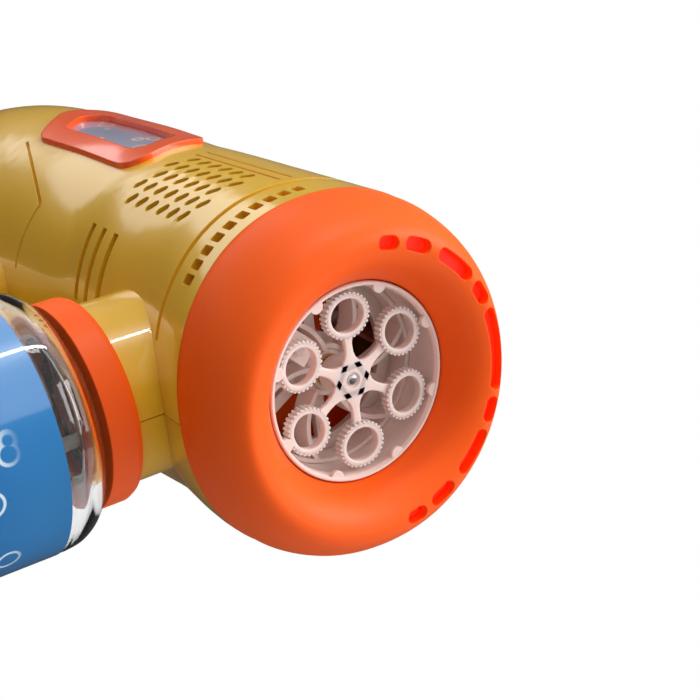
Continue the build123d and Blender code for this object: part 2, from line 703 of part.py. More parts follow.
def pump_rollers():
    """Three rollers on the rotor's pins."""
    group = []
    for index in range(3):
        x, z = polar(4.4, 30 + 120 * index)
        group.append(tube_y(1.95, 0.8, 43.6, 49.4, x, z + PUMP_Z))
    return Compound(group)


def pump_housing():
    """Curved wall that the pump's tube is squeezed against, with a back cover."""
    wall = tube_y(11.2, PUMP_LOOP_R + TUBE_ROOM, REAR_PLATE[1], 51.2)
    wall = wall - block((-14, 14), (40, 51.2), (-14, -1.0))
    cover = rod_y(11.2, 51.2, 52.4) - rod_y(SHAFT_R + RUNNING, 50, 54)
    return Pos(0, 0, PUMP_Z) * (wall + cover)


def pump_tube():
    """Soft tube: over the rollers, then forward to the nozzle."""
    x, z = polar(*NOZZLE_PLACE)
    r = PUMP_LOOP_R
    points = [(r, PUMP_Y, PUMP_Z - 1.2), (r, PUMP_Y, PUMP_Z + r), (-r, PUMP_Y, PUMP_Z + r),
              (-r, PUMP_Y, PUMP_Z - 3.4), (TUBE_PASS[0], PUMP_Y, TUBE_PASS[1]),
              (TUBE_PASS[0], 22.8, TUBE_PASS[1]), (x, 22.4, z), (x, 19.4, z)]
    radii = [r - 0.05, r - 0.05, 2.6, 3.2, 2.6, 1.6]
    return hose(points, radii, TUBE_R)


def dip_tube():
    """Stiff tube from the bottle's bottom up to the pump."""
    r = PUMP_LOOP_R
    points = [(r, BOTTLE_Y, -114.5), (r, BOTTLE_Y, -41.0), (r, PUMP_Y, -31.0), (r, PUMP_Y, PUMP_Z - 1.4)]
    return hose(points, [5.0, 5.0], TUBE_R + 0.2, bore=0.9)


# ---- bottle and collar -------------------------------------------------------------------
def collar():
    """Orange collar round the stub, with the threaded sleeve that takes the bottle's neck."""
    outline = [(19.9, COLLAR_TOP), (20.9, COLLAR_TOP), (21.9, COLLAR_TOP - 0.5), (COLLAR_R, COLLAR_TOP - 1.6),
               (COLLAR_R, COLLAR_BOTTOM), (16.4, COLLAR_BOTTOM), (16.4, -36.4), (17.45, -36.4), (17.45, COLLAR_SEAT),
               (19.9, COLLAR_SEAT)]
    ring = turned_z(outline, BOTTLE_Y)
    for level in (-38.2, -40.6, -43.0):
        ring = ring + turned_z([(16.5, level), (16.05, level - 0.4), (16.05, level - 0.7),
                                (16.5, level - 1.1)], BOTTLE_Y)
    return ring


def neck_plug():
    """Plate above the bottle's neck that holds the dip tube."""
    plate = rod_z(STUB_BORE_R - 0.1, -35.2, -33.4, y=BOTTLE_Y)
    plate = plate + rod_z(4.2, -42.0, -35.2, x=PUMP_LOOP_R - 0.2, y=BOTTLE_Y)
    plate = plate - rod_z(TUBE_R + 0.35, -43, -39, x=PUMP_LOOP_R, y=BOTTLE_Y)
    path_gap = hose([(PUMP_LOOP_R, BOTTLE_Y, -46), (PUMP_LOOP_R, BOTTLE_Y, -41.0), (PUMP_LOOP_R, PUMP_Y, -31.0),
                     (PUMP_LOOP_R, PUMP_Y, -24.0)], [5.0, 5.0], TUBE_R + 0.35)
    return plate - path_gap - rod_z(1.0, -37, -30, x=-8, y=BOTTLE_Y)


def neck_gasket():
    """Soft ring between the bottle's mouth and the plate."""
    return rod_z(15.6, NECK_TOP, NECK_TOP + 1.5, y=BOTTLE_Y) - rod_z(13.4, -40, -30, y=BOTTLE_Y)


def bottle_profile(inset):
    """Half section of the bottle, moved inwards by its wall."""
    radius = BOTTLE_R - inset
    top = BOTTLE_TOP - inset
    base = -AXIS_HEIGHT + inset
    neck = NECK_R - inset * 1.3
    shoulder = Spline((neck + 2.4, top), (radius - 2.0, top - 3.4), (radius, top - 9.6),
                      tangents=[(1, 0), (0, -1)])
    heel = ThreePointArc((radius, base + 3.0), (radius - 0.88, base + 0.88), (radius - 3.0, base))
    lines = [Line((0, NECK_TOP), (neck, NECK_TOP)), Line((neck, NECK_TOP), (neck, top + 1.6)),
             Spline((neck, top + 1.6), (neck + 2.4, top), tangents=[(0, -1), (1, 0)]), shoulder,
             Line((radius, top - 9.6), (radius, base + 3.0)), heel,
             Line((radius - 3.0, base), (0, base)), Line((0, base), (0, NECK_TOP))]
    return Plane.XZ * make_face(lines)


def bottle():
    """Clear bottle with a threaded neck and a dished base."""
    body = revolve(bottle_profile(0.0), Axis.Z) - revolve(bottle_profile(BOTTLE_WALL), Axis.Z)
    body = body - rod_z(NECK_R - BOTTLE_WALL * 1.3, NECK_TOP - 3, NECK_TOP + 3)
    for level in (-39.4, -41.8):
        body = body + turned_z([(NECK_R - 0.1, level), (NECK_R + 0.7, level - 0.4), (NECK_R + 0.7, level - 0.7),
                                (NECK_R - 0.1, level - 1.1)])
    return Pos(0, BOTTLE_Y, 0) * body


def bottle_label():
    """Printed sleeve round the bottle."""
    return rod_z(BOTTLE_R + 0.15, LABEL_BOTTOM, LABEL_TOP, y=BOTTLE_Y) - rod_z(
        BOTTLE_R, LABEL_BOTTOM - 1, LABEL_TOP + 1, y=BOTTLE_Y)


# ---- badges ------------------------------------------------------------------------------
def badge_frame():
    """Raised orange frame of the right badge."""
    ring = side_prism(BADGE_OUTLINE, -46, -22, BADGE_CORNER) & (barrel_body(-1.3) - barrel_body(BADGE_SEAT))
    return ring - side_prism(BADGE_WINDOW, -50, -20, WINDOW_CORNER)


def badge_plate():
    """Printed plate in the right badge's window."""
    window = side_prism(BADGE_WINDOW, -46, -22, WINDOW_CORNER)
    return window & (barrel_body(0.3) - barrel_body(BADGE_SEAT))


# ---- trigger, batteries, electrics -------------------------------------------------------
def trigger():
    """Finger trigger with its stop flange and stem."""
    low, high, front, back = TRIGGER_Z - 9.6, TRIGGER_Z + 9.6, 91.6, 104.6
    lines = [ThreePointArc((front, high - 2), (front + 1.8, (low + high) / 2), (front, low + 2)),
             Polyline((front, low + 2), (front, low), (back, low), (back, high), (front, high),
                      (front, high - 2))]
    outline = make_face(lines)
    tips = [v for v in outline.vertices() if v.X < front + 1 and min(abs(v.Y - low), abs(v.Y - high)) < 0.1]
    lever = extrude(Plane.YZ.offset(-5.9) * fillet(tips, 1.8), amount=11.8)
    rim = [edge for edge in lever.edges() if edge.bounding_box().size.X < 0.01
           and edge.bounding_box().max.Y < front + 5]
    lever = fillet(rim, 1.6)
    flange = block((-8.6, 8.6), (104.6, 106.0), (TRIGGER_Z - 11.6, TRIGGER_Z + 11.6))
    return lever + flange + rod_y(2.0, 106.0, 111.0, z=TRIGGER_Z)


def trigger_spring():
    """Compression spring on the trigger's stem."""
    coil = Helix(pitch=1.5, height=5.6, radius=3.2, center=(0, 0, 0), direction=(0, 1, 0))
    start = Plane(origin=coil @ 0, z_dir=coil % 0)
    return Pos(0, 106.5, TRIGGER_Z) * sweep(start * Circle(0.3), path=coil)


def switch_bracket():
    """Plate behind the trigger that seats the spring and holds the switch."""
    low, top = TRIGGER_Z - 8.0, TRIGGER_Z + 10.0
    plate = block((-12.0, 12.0), (112.6, 113.8), (low, top)) - rod_y(2.5, 110, 115, z=TRIGGER_Z)
    return plate + block((-12.0, 12.0), (113.8, 123.0), (low, low + 1.6))


def trigger_switch():
    """Small push switch on the bracket."""
    case = block((-6.0, 6.0), (117.2, 122.8), (TRIGGER_Z - 6.4, TRIGGER_Z + 4.0))
    return case + rod_y(1.4, 116.1, 117.2, z=TRIGGER_Z)


def cell_places():
    """Y of each battery cell's axis."""
    return [CELL_FIRST_Y + CELL_PITCH * index for index in range(3)]


def battery_cells():
    """Three round cells side by side, standing on end."""
    group = []
    for index, y in enumerate(cell_places()):
        body = rod_z(CELL_R, CELL_LOW_Z, CELL_LOW_Z + CELL_LENGTH - 1.0, x=CELL_X, y=y)
        cell = body + rod_z(2.7, CELL_LOW_Z + CELL_LENGTH - 1.0, CELL_LOW_Z + CELL_LENGTH, x=CELL_X, y=y)
        if index % 2:
            middle = CELL_LOW_Z + CELL_LENGTH / 2
            cell = Pos(0, 0, 2 * middle) * mirror(cell, Plane.XY)
        group.append(cell)
    return Compound(group)


def battery_holder():
    """Open box that holds the cells, its mouth towards the door."""
    low, high = CELL_FIRST_Y - 7.5, CELL_FIRST_Y + 2 * CELL_PITCH + 7.5
    box = block((-10.4, 9.0), (low - 1.2, high + 1.2), (-118.4, -62.6))
    box = fillet(box.edges().filter_by(Axis.Z).sort_by(Axis.X)[:2], 1.8)
    room = block((-9.0, 12.0), (low, high), (-117.4, -63.8))
    return box - room


def battery_contacts():
    """Spring and button contacts at the cells' ends."""
    group = []
    for y in cell_places():
        group.append(block((-4.5, 4.5), (y - 4.5, y + 4.5), (-117.3, -116.8)))
        group.append(block((-4.5, 4.5), (y - 4.5, y + 4.5), (-64.4, -63.9)))
        group.append(rod_z(2.4, -116.8, -116.0, y=y))
        group.append(rod_z(2.4, -65.8, -64.4, y=y))
    return Compound(group)


def door_screw():
    """Captive screw of the battery door."""
    return rod_x(2.4, 15.25, 16.35, *DOOR_SCREW) + rod_x(1.3, 10.0, 15.25, *DOOR_SCREW)


def shell_screws():
    """Screws that pull the halves together."""
    group = []
    for y, z in SCREW_PLACES:
        head = rod_x(2.7, 6.0, 7.6, y=y, z=z) - block((7.0, 8.0), (y - 2, y + 2), (z - 0.25, z + 0.25))
        group.append(head + rod_x(1.1, -7.0, 6.0, y=y, z=z))
    return Compound(group)


def control_board():
    """Driver board, standing beside the middle plane."""
    board = block((BOARD_FACE - 1.6, BOARD_FACE), (82.0, 118.0), (-14.0, 12.0))
    for y, z in BOARD_SCREWS:
        board = board - rod_x(1.2, -14, -10, y=y, z=z)
    return board


def board_parts():
    """Chip, capacitors and transistor on the driver board."""
    chip = block((BOARD_FACE, BOARD_FACE + 1.6), (96.0, 104.0), (-3.0, 3.0))
    transistor = block((BOARD_FACE, BOARD_FACE + 4.2), (89.0, 93.5), (-9.0, -7.2))
    return Compound([chip, transistor, rod_x(2.5, BOARD_FACE, -4.2, y=91.0, z=5.0),
                     rod_x(2.0, BOARD_FACE, -6.0, y=109.0, z=-6.0)])


def board_screws():
    """Screws that fix the driver board to the right shell."""
    group = []
    for y, z in BOARD_SCREWS:
        group.append(rod_x(2.0, BOARD_FACE, -9.8, y=y, z=z) + rod_x(1.0, -16.0, BOARD_FACE, y=y, z=z))
    return Compound(group)


def board_frame():
    """Moulded frame between the driver board and the right shell."""
    frame = block((-16.4, -12.8), (82.0, 118.0), (-14.0, 12.0)) - block((-20, -10), (85, 115), (-7.4, 5.4))
    frame = frame - block((-20, -10), (89.5, 110.5), (-11.6, 9.6))
    for y, z in BOARD_SCREWS:
        frame = frame - rod_x(1.0, -20, -10, y=y, z=z)
    legs = [rod_x(2.6, -40.0, -16.4, y=y, z=z) for y in (83.5, 116.5) for z in (-4.0, 3.0)]
    return joined([frame] + [leg & barrel_body(WALL + 0.05) for leg in legs])


def battery_leads():
    """Pair of leads from the battery holder up to the driver board."""
    leads = []
    for shift in (-1.2, 1.2):
        points = [(-6.0 + shift, 126.0, -62.5), (-6.0 + shift, 126.0, -40.0), (-6.0 + shift, 122.0, -12.0),
                  (-8.0 + shift, 108.0, -13.0)]
        leads.append(hose(points, [14.0, 7.0], 0.6))
    return Compound(leads)


def motor_leads():
    """Leads from the driver board forward to the two motors."""
    fan = hose([(-6.0, LEADS_FROM, FAN_Z), (-8.0, 84.0, FAN_Z), (-8.0, 94.0, 12.0), (-10.4, 100.0, 7.0)],
               [10.0, 6.0], 0.6)
    drive = hose([(PINION_X - 6, LEADS_FROM, PINION_Z), (PINION_X - 4, 82.0, PINION_Z - 3), (2.0, 96.0, -8.0),
                  (-10.4, 99.0, -8.0)], [12.0, 8.0], 0.6)
    return Compound([fan, drive])


def everything():
    """Each piece by its name."""
    right, left, door = shells()
    frame, plate = badge_frame(), badge_plate()
    return {
        "shell_right": right,
        "shell_left": left,
        "battery_door": door,
        "door_screw": door_screw(),
        "shell_screws": shell_screws(),
        "nose_ring": nose_ring(),
        "light_diffuser": light_diffuser(),
        "led_board": led_board(),
        "leds": leds(),
        "badge_frame_right": frame,
        "badge_frame_left": mirror(frame, Plane.YZ),
        "badge_plate_right": plate,
        "badge_plate_left": mirror(plate, Plane.YZ),
        "wand_tray": wand_tray(),
        "tray_bush": tray_bush(),
        "air_guide": air_guide(),
        "feed_nozzle": feed_nozzle(),
        "wand_wheel": wand_wheel(),
        "wheel_screw": wheel_screw(),
        "wand_shaft": wand_shaft(),
        "wheel_gear": wheel_gear(),
        "idler_gear": idler_gear(),
        "idler_pin": idler_pin(),
        "motor_pinion": motor_pinion(),
        "drive_shaft": motor_shaft(REDUCTION_FACE[0], PINION_X, PINION_Z),
        "drive_motor": small_motor(PINION_X, PINION_Z),
        "bulkhead": bulkhead(),
        "bulkhead_bush": bulkhead_bush(),
        "rear_plate": rear_plate(),
        "plate_screws": plate_screws(),
        "fan_impeller": fan_impeller(),
        "fan_shaft": motor_shaft(31.4, 0.0, FAN_Z),
        "fan_motor": small_motor(0.0, FAN_Z),
        "pump_rotor": pump_rotor(),
        "pump_rollers": pump_rollers(),
        "pump_gear": pump_gear(),
        "pump_housing": pump_housing(),
        "pump_tube": pump_tube(),
        "dip_tube": dip_tube(),
        "collar": collar(),
        "neck_plug": neck_plug(),
        "neck_gasket": neck_gasket(),
        "bottle": bottle(),
        "bottle_label": bottle_label(),
        "trigger": trigger(),
        "trigger_spring": trigger_spring(),
        "switch_bracket": switch_bracket(),
        "trigger_switch": trigger_switch(),
        "battery_holder": battery_holder(),
        "battery_cells": battery_cells(),
        "battery_contacts": battery_contacts(),
        "control_board": control_board(),
        "board_parts": board_parts(),
        "board_screws": board_screws(),
        "board_frame": board_frame(),
        "battery_leads": battery_leads(),
        "motor_leads": motor_leads(),
    }


if __name__ == "__main__":
    os.makedirs("parts", exist_ok=True)
    length_centre = (NOSE_FRONT + DOME_START + DOME_LENGTH) / 2
    place = Pos(0, -length_centre, AXIS_HEIGHT)
    for name, shape in everything().items():
        export_step(place * shape, f"parts/{name}.step")
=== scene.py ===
"""Visual model of a hand-held bubble machine: barrel and grip, ring nose, wand wheel, bottle.

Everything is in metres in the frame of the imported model: the nose points along -Y, the barrel's
axis runs along Y and the toy stands on its bottle and grip at z = 0.
"""

import json
import logging
import math
from dataclasses import dataclass
from enum import Enum
from typing import Any, Optional, Sequence

import bmesh
import bpy
from mathutils import Matrix, Vector

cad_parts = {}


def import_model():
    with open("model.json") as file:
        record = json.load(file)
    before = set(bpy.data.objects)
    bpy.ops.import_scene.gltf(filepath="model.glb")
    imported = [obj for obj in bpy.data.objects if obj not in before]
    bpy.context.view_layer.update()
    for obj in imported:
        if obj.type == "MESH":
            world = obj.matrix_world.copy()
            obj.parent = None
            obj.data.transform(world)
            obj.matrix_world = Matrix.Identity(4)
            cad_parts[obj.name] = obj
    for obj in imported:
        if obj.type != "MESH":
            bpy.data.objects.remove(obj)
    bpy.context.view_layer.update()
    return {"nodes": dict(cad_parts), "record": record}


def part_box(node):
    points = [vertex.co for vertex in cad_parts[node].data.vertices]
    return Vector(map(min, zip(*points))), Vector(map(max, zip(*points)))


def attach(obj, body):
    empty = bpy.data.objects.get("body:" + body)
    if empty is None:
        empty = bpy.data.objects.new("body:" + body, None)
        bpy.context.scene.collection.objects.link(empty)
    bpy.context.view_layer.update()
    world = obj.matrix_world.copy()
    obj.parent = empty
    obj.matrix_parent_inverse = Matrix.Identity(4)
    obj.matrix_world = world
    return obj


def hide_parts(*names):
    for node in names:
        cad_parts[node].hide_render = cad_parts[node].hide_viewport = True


LOG = logging.getLogger("bubble_machine")
MM = 0.001
Colour = tuple[float, float, float]
Profile = list[tuple[float, float]]


# ---- node trees --------------------------------------------------------------------------
class Sock:
    """One value in a node tree, with arithmetic."""

    def __init__(self, tree: "Tree", socket: Any) -> None:
        """Wraps a node's output socket."""
        self.tree = tree
        self.socket = socket

    def _math(self, operation: str, first: Any, second: Any) -> "Sock":
        """Adds a Math node on two values."""
        return self.tree.node("ShaderNodeMath", {"operation": operation}, {0: first, 1: second})

    def __add__(self, other: Any) -> "Sock":
        """self + other."""
        return self._math("ADD", self, other)

    __radd__ = __add__

    def __sub__(self, other: Any) -> "Sock":
        """self - other."""
        return self._math("SUBTRACT", self, other)

    def __rsub__(self, other: Any) -> "Sock":
        """other - self."""
        return self._math("SUBTRACT", other, self)

    def __mul__(self, other: Any) -> "Sock":
        """self * other."""
        return self._math("MULTIPLY", self, other)

    __rmul__ = __mul__

    def __truediv__(self, other: Any) -> "Sock":
        """self / other."""
        return self._math("DIVIDE", self, other)

    def smooth(self, low: float, high: float) -> "Sock":
        """0 below low, 1 above high, and a smooth step between them."""
        return self.tree.node("ShaderNodeMapRange", {"interpolation_type": "SMOOTHSTEP"},
                              {"Value": self, "From Min": low, "From Max": high})


class Tree:
    """A node tree that is filled one node at a time."""

    def __init__(self, tree: bpy.types.NodeTree) -> None:
        """Wraps a Blender node tree."""
        self.tree = tree

    def node(self, kind: str, settings: Optional[dict] = None, inputs: Optional[dict] = None,
             output: Any = 0) -> Sock:
        """Adds a node.

        Args:
            kind: the node's type.
            settings: the node's own settings, set first; "stops" fills a colour ramp.
            inputs: values or Socks by input name or index.
            output: name or index of the output that is handed back.
        Returns:
            The output as a Sock.
        """
        made = self.tree.nodes.new(kind)
        for key, value in (settings or {}).items():
            if key == "stops":
                self._fill_ramp(made.color_ramp, value)
            else:
                setattr(made, key, value)
        for key, value in (inputs or {}).items():
            if isinstance(value, Sock):
                self.tree.links.new(value.socket, made.inputs[key])
            else:
                made.inputs[key].default_value = value
        return Sock(self, made.outputs[output] if made.outputs else None)

    @staticmethod
    def _fill_ramp(ramp: Any, stops: Sequence[tuple[float, Colour]]) -> None:
        """Gives a colour ramp its stops."""
        while len(ramp.elements) < len(stops):
            ramp.elements.new(1.0)
        for element, (place, colour) in zip(ramp.elements, stops):
            element.position = place
            element.color = (*colour, 1.0)

    def mix(self, first: Any, second: Any, factor: Any) -> Sock:
        """Mixes two colours."""
        values = {6: _rgba(first), 7: _rgba(second), 0: factor}
        return self.node("ShaderNodeMix", {"data_type": "RGBA"}, values, 2)

    def split(self, vector: Sock) -> tuple[Sock, Sock, Sock]:
        """X, Y and Z of a vector."""
        made = self.tree.nodes.new("ShaderNodeSeparateXYZ")
        self.tree.links.new(vector.socket, made.inputs[0])
        return tuple(Sock(self, made.outputs[k]) for k in range(3))

    def vector(self, x: Any, y: Any, z: Any) -> Sock:
        """Vector from three values."""
        return self.node("ShaderNodeCombineXYZ", {}, {0: x, 1: y, 2: z})


def _rgba(value: Any) -> Any:
    """A colour with its fourth value, or a Sock as it is."""
    return value if isinstance(value, Sock) else (*value, 1.0)


class Surface(Tree):
    """Material with one Principled shader."""

    def __init__(self, name: str) -> None:
        """Makes the material with its shader and output."""
        self.material = bpy.data.materials.new(name)
        self.material.use_nodes = True
        super().__init__(self.material.node_tree)
        self.tree.nodes.clear()
        self.output = self.tree.nodes.new("ShaderNodeOutputMaterial")
        self.shader = self.tree.nodes.new("ShaderNodeBsdfPrincipled")
        self.tree.links.new(self.shader.outputs[0], self.output.inputs[0])

    def set(self, values: dict[str, Any]) -> None:
        """Sets or links the shader's sockets by name."""
        for key, value in values.items():
            if isinstance(value, Sock):
                self.tree.links.new(value.socket, self.shader.inputs[key])
            elif key in ("Base Color", "Emission Color", "Coat Tint", "Specular Tint"):
                self.shader.inputs[key].default_value = (*value, 1.0)
            else:
                self.shader.inputs[key].default_value = value

    def place(self) -> Sock:
        """Object coordinates, in metres."""
        return self.node("ShaderNodeTexCoord", {}, {}, "Object")

    def noise(self, place: Sock, size: float, detail: float = 2.0, rough: float = 0.5) -> Sock:
        """Noise between 0 and 1 whose blobs are about size metres across."""
        return self.node("ShaderNodeTexNoise", {}, {"Vector": place, "Scale": 1 / size, "Detail": detail,
                                                    "Roughness": rough}, "Fac")

    def relief(self, height: Sock, depth: float, edge: float = 0.0) -> Sock:
        """Normal with a relief of a depth in metres, on edges rounded by a radius in metres."""
        inputs = {"Height": height, "Distance": depth, "Strength": 1.0}
        if edge:
            inputs["Normal"] = self.node("ShaderNodeBevel", {"samples": 6}, {"Radius": edge})
        return self.node("ShaderNodeBump", {}, inputs)


# ---- finishes ----------------------------------------------------------------------------
def lighter(colour: Colour, factor: float) -> Colour:
    """A colour times a factor."""
    return tuple(min(1.0, part * factor) for part in colour)


@dataclass(frozen=True)
class Moulded:
    """Injection-moulded plastic: faint flow marks, fine grain, rounded edges."""

    name: str
    colour: Colour
    roughness: float = 0.35
    coat: float = 0.0
    depth: float = 0.0
    depth_radius: Colour = (1.0, 0.4, 0.1)
    grain: float = 0.35 * MM
    relief: float = 0.004 * MM
    edge: float = 0.25 * MM
    glow: float = 0.0
    gloss: float = 0.5

    def material(self) -> bpy.types.Material:
        """Builds the material."""
        s = Surface(self.name)
        place = s.place()
        flow = s.noise(place, 16 * MM, 3.0, 0.6)
        fine = s.noise(place, self.grain, 2.0, 0.6)
        colour = s.mix(lighter(self.colour, 0.93), lighter(self.colour, 1.05), flow)
        s.set({
            "Base Color": colour,
            "Roughness": self.roughness - 0.03 + flow * 0.05 + fine * 0.04,
            "Coat Weight": self.coat,
            "Coat Roughness": 0.03,
            "Subsurface Weight": self.depth,
            "Subsurface Radius": self.depth_radius,
            "Subsurface Scale": 1.5 * MM,
            "Specular IOR Level": self.gloss,
            "Normal": s.relief(fine, self.relief, self.edge),
        })
        if self.glow:
            s.set({"Emission Color": self.colour, "Emission Strength": self.glow})
        return s.material


@dataclass(frozen=True)
class Clear:
    """Clear or tinted see-through plastic."""

    name: str
    colour: Colour
    roughness: float = 0.02
    ior: float = 1.5
    wave: float = 0.02 * MM

    def material(self) -> bpy.types.Material:
        """Builds the material, with the slight waviness of blown plastic."""
        s = Surface(self.name)
        height = s.noise(s.place(), 9 * MM, 1.0)
        s.set({"Base Color": self.colour, "Roughness": self.roughness, "IOR": self.ior,
               "Transmission Weight": 1.0, "Normal": s.relief(height, self.wave)})
        return s.material


@dataclass(frozen=True)
class Plated:
    """Turned or stamped metal with fine tool marks."""

    name: str
    colour: Colour
    roughness: float = 0.28

    def material(self) -> bpy.types.Material:
        """Builds the material."""
        s = Surface(self.name)
        place = s.place()
        marks = s.noise(place, 0.25 * MM, 3.0, 0.7)
        stain = s.noise(place, 5 * MM, 2.0)
        s.set({"Base Color": s.mix(lighter(self.colour, 0.8), self.colour, stain), "Metallic": 1.0,
               "Roughness": self.roughness + marks * 0.16, "Normal": s.relief(marks, 0.006 * MM, 0.12 * MM)})
        return s.material


def bubbles(s: Surface, place: Sock, size: float) -> Sock:
    """Mask of drawn bubbles: rings with a glint, packed at random about size metres apart."""
    cells = s.node("ShaderNodeTexVoronoi", {"feature": "F1"}, {"Vector": place, "Scale": 1 / size}, "Distance")
    rim = cells.smooth(0.26, 0.30) * (1 - cells.smooth(0.34, 0.38))
    glint = 1 - cells.smooth(0.05, 0.09)
    return (rim * 0.8 + glint * 0.35).smooth(0.0, 1.0)


@dataclass(frozen=True)
class LabelFilm:
    """Printed sleeve: deep blue with scattered bubbles and a varnish, made paler towards the top by a painted
    reflection.
    """

    name: str
    # paler blue of the painted reflection that lightens the sleeve towards its top
    painted_reflection_colour: Colour
    body: Colour
    foot_z: float
    top_z: float

    def material(self) -> bpy.types.Material:
        """Builds the material."""
        s = Surface(self.name)
        place = s.place()
        height = s.split(place)[2]
        rise = (height - self.foot_z) / (self.top_z - self.foot_z)
        # painted reflection: the printed blue fades to a paler blue towards the sleeve's top
        colour = s.mix(self.body, self.painted_reflection_colour, rise.smooth(0.25, 0.95))
        colour = s.mix(colour, (0.75, 0.88, 0.96), bubbles(s, place, 8 * MM) * (1 - rise.smooth(0.72, 0.85)))
        film = s.noise(place, 6 * MM, 2.0)
        s.set({"Base Color": colour, "Roughness": 0.26 + film * 0.05, "Coat Weight": 0.9,
               "Coat Roughness": 0.03, "Normal": s.relief(film, 0.03 * MM)})
        return s.material


@dataclass(frozen=True)
class BadgeFilm:
    """Printed badge plate: dusky blue with bubbles under a thick lacquer."""

    name: str
    ground: Colour
    print_colour: Colour

    def material(self) -> bpy.types.Material:
        """Builds the material."""
        s = Surface(self.name)
        place = s.place()
        tone = s.noise(place, 12 * MM, 2.0)
        colour = s.mix(lighter(self.ground, 0.8), lighter(self.ground, 1.2), tone)
        colour = s.mix(colour, self.print_colour, bubbles(s, place, 6.5 * MM))
        s.set({"Base Color": colour, "Roughness": 0.3 + tone * 0.04, "Coat Weight": 1.0, "Coat Roughness": 0.02,
               "Normal": s.relief(tone, 0.03 * MM)})
        return s.material


@dataclass(frozen=True)
class SolderResist:
    """Green board with brighter tracks."""

    name: str
    colour: Colour
    tracks_per_metre: float = 260.0

    def material(self) -> bpy.types.Material:
        """Builds the material."""
        s = Surface(self.name)
        place = s.place()
        cells = s.node("ShaderNodeTexVoronoi", {"feature": "DISTANCE_TO_EDGE"},
                       {"Vector": place, "Scale": self.tracks_per_metre}, "Distance")
        track = 1 - cells.smooth(0.06, 0.1)
        s.set({"Base Color": s.mix(self.colour, lighter(self.colour, 1.9), track),
               "Roughness": 0.34 + track * 0.1,
               "Coat Weight": 0.4, "Normal": s.relief(track, 0.02 * MM, 0.1 * MM)})
        return s.material


@dataclass(frozen=True)
class CellWrap:
    """Shrink wrap of a battery cell: dark sleeve with a coppery end."""

    name: str
    low_z: float
    high_z: float

    def material(self) -> bpy.types.Material:
        """Builds the material."""
        s = Surface(self.name)
        place = s.place()
        rise = (s.split(place)[2] - self.low_z) / (self.high_z - self.low_z)
        wrap = s.mix((0.02, 0.022, 0.03), (0.62, 0.3, 0.1), rise.smooth(0.66, 0.67))
        ends = rise.smooth(0.97, 0.975) + (1 - rise.smooth(0.012, 0.016))
        crinkle = s.noise(place, 1.6 * MM, 2.0)
        s.set({"Base Color": s.mix(wrap, (0.7, 0.7, 0.71), ends), "Metallic": ends,
               "Roughness": 0.25 + crinkle * 0.08, "Coat Weight": 0.5,
               "Normal": s.relief(crinkle, 0.02 * MM, 0.3 * MM)})
        return s.material


class Slot(Enum):
    """The record's finishes."""

    SHELL = "yellow_shell"
    NOSE = "orange_nose"
    TRIM = "orange_trim"
    LENS = "red_lens"
    WHITE = "white_plastic"
    BADGE = "badge_print"
    LABEL = "label_print"
    BOTTLE = "clear_bottle"
    TUBE = "soft_tube"
    GASKET = "gasket"
    STEEL = "steel"
    BRASS = "brass"
    CAN = "motor_can"
    BOARD = "board"
    BLACK = "black_plastic"
    CELL = "cell_wrap"
    LED = "led_clear"
    WIRE = "wire"


def finishes() -> dict[Slot, bpy.types.Material]:
    """Builds every finish once.

    Returns:
        The material of each of the record's finishes.
    """
    label_low, label_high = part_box("bottle_label")
    cell_low, cell_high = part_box("battery_cells")
    table = {
        Slot.SHELL: Moulded("yellow_gloss", (0.76, 0.44, 0.018), roughness=0.3, coat=0.7, depth=0.12,
                            depth_radius=(1.0, 0.5, 0.1), relief=0.002 * MM),
        Slot.NOSE: Moulded("orange_satin", (0.97, 0.108, 0.003), roughness=0.45, depth=0.1, gloss=0.22,
                           depth_radius=(1.0, 0.2, 0.03), relief=0.006 * MM, grain=0.3 * MM, edge=0.4 * MM),
        Slot.TRIM: Moulded("orange_gloss", (0.93, 0.1, 0.007), roughness=0.22, coat=0.6, depth=0.12,
                           depth_radius=(1.0, 0.2, 0.03), edge=0.6 * MM),
        Slot.LENS: Moulded("red_diffuser", (0.95, 0.02, 0.006), roughness=0.3, coat=0.5, depth=0.6, glow=0.85),
        Slot.WHITE: Moulded("white_nylon", (0.88, 0.71, 0.65), roughness=0.36, depth=0.35,
                            depth_radius=(1.0, 0.6, 0.45), relief=0.003 * MM, edge=0.2 * MM),
        Slot.BADGE: BadgeFilm("badge_film", (0.3, 0.3, 0.42), (0.78, 0.6, 0.35)),
        # the label's first colour is a painted reflection that makes the top of the sleeve paler
        Slot.LABEL: LabelFilm("label_film", (0.02, 0.2, 0.5), (0.004, 0.1, 0.36), label_low.z, label_high.z),
        Slot.BOTTLE: Clear("clear_pet", (0.98, 0.985, 0.99)),
        Slot.TUBE: Moulded("soft_silicone", (0.78, 0.74, 0.7), roughness=0.3, depth=0.6, edge=0.0),
        Slot.GASKET: Moulded("gasket_foam", (0.75, 0.7, 0.64), roughness=0.7, relief=0.03 * MM, edge=0.0),
        Slot.STEEL: Plated("plated_steel", (0.72, 0.72, 0.74)),
        Slot.BRASS: Plated("sintered_brass", (0.78, 0.55, 0.25), roughness=0.36),
        Slot.CAN: Plated("motor_can", (0.6, 0.6, 0.61), roughness=0.32),
        Slot.BOARD: SolderResist("board_green", (0.015, 0.13, 0.04)),
        Slot.BLACK: Moulded("black_moulding", (0.018, 0.018, 0.02), roughness=0.45),
        Slot.CELL: CellWrap("cell_sleeve", cell_low.z, cell_high.z),
        Slot.LED: Moulded("led_tinted", (0.95, 0.2, 0.14), roughness=0.1, coat=1.0, depth=0.5, edge=0.0,
                          glow=1.5),
        Slot.WIRE: Moulded("wire_red", (0.55, 0.01, 0.008), roughness=0.4, edge=0.0),
    }
    return {slot: finish.material() for slot, finish in table.items()}


# ---- mesh helpers ------------------------------------------------------------------------
def linked(name: str, mesh: bpy.types.Mesh) -> bpy.types.Object:
    """Object for a mesh, in the scene."""
    made = bpy.data.objects.new(name, mesh)
    bpy.context.scene.collection.objects.link(made)
    return made


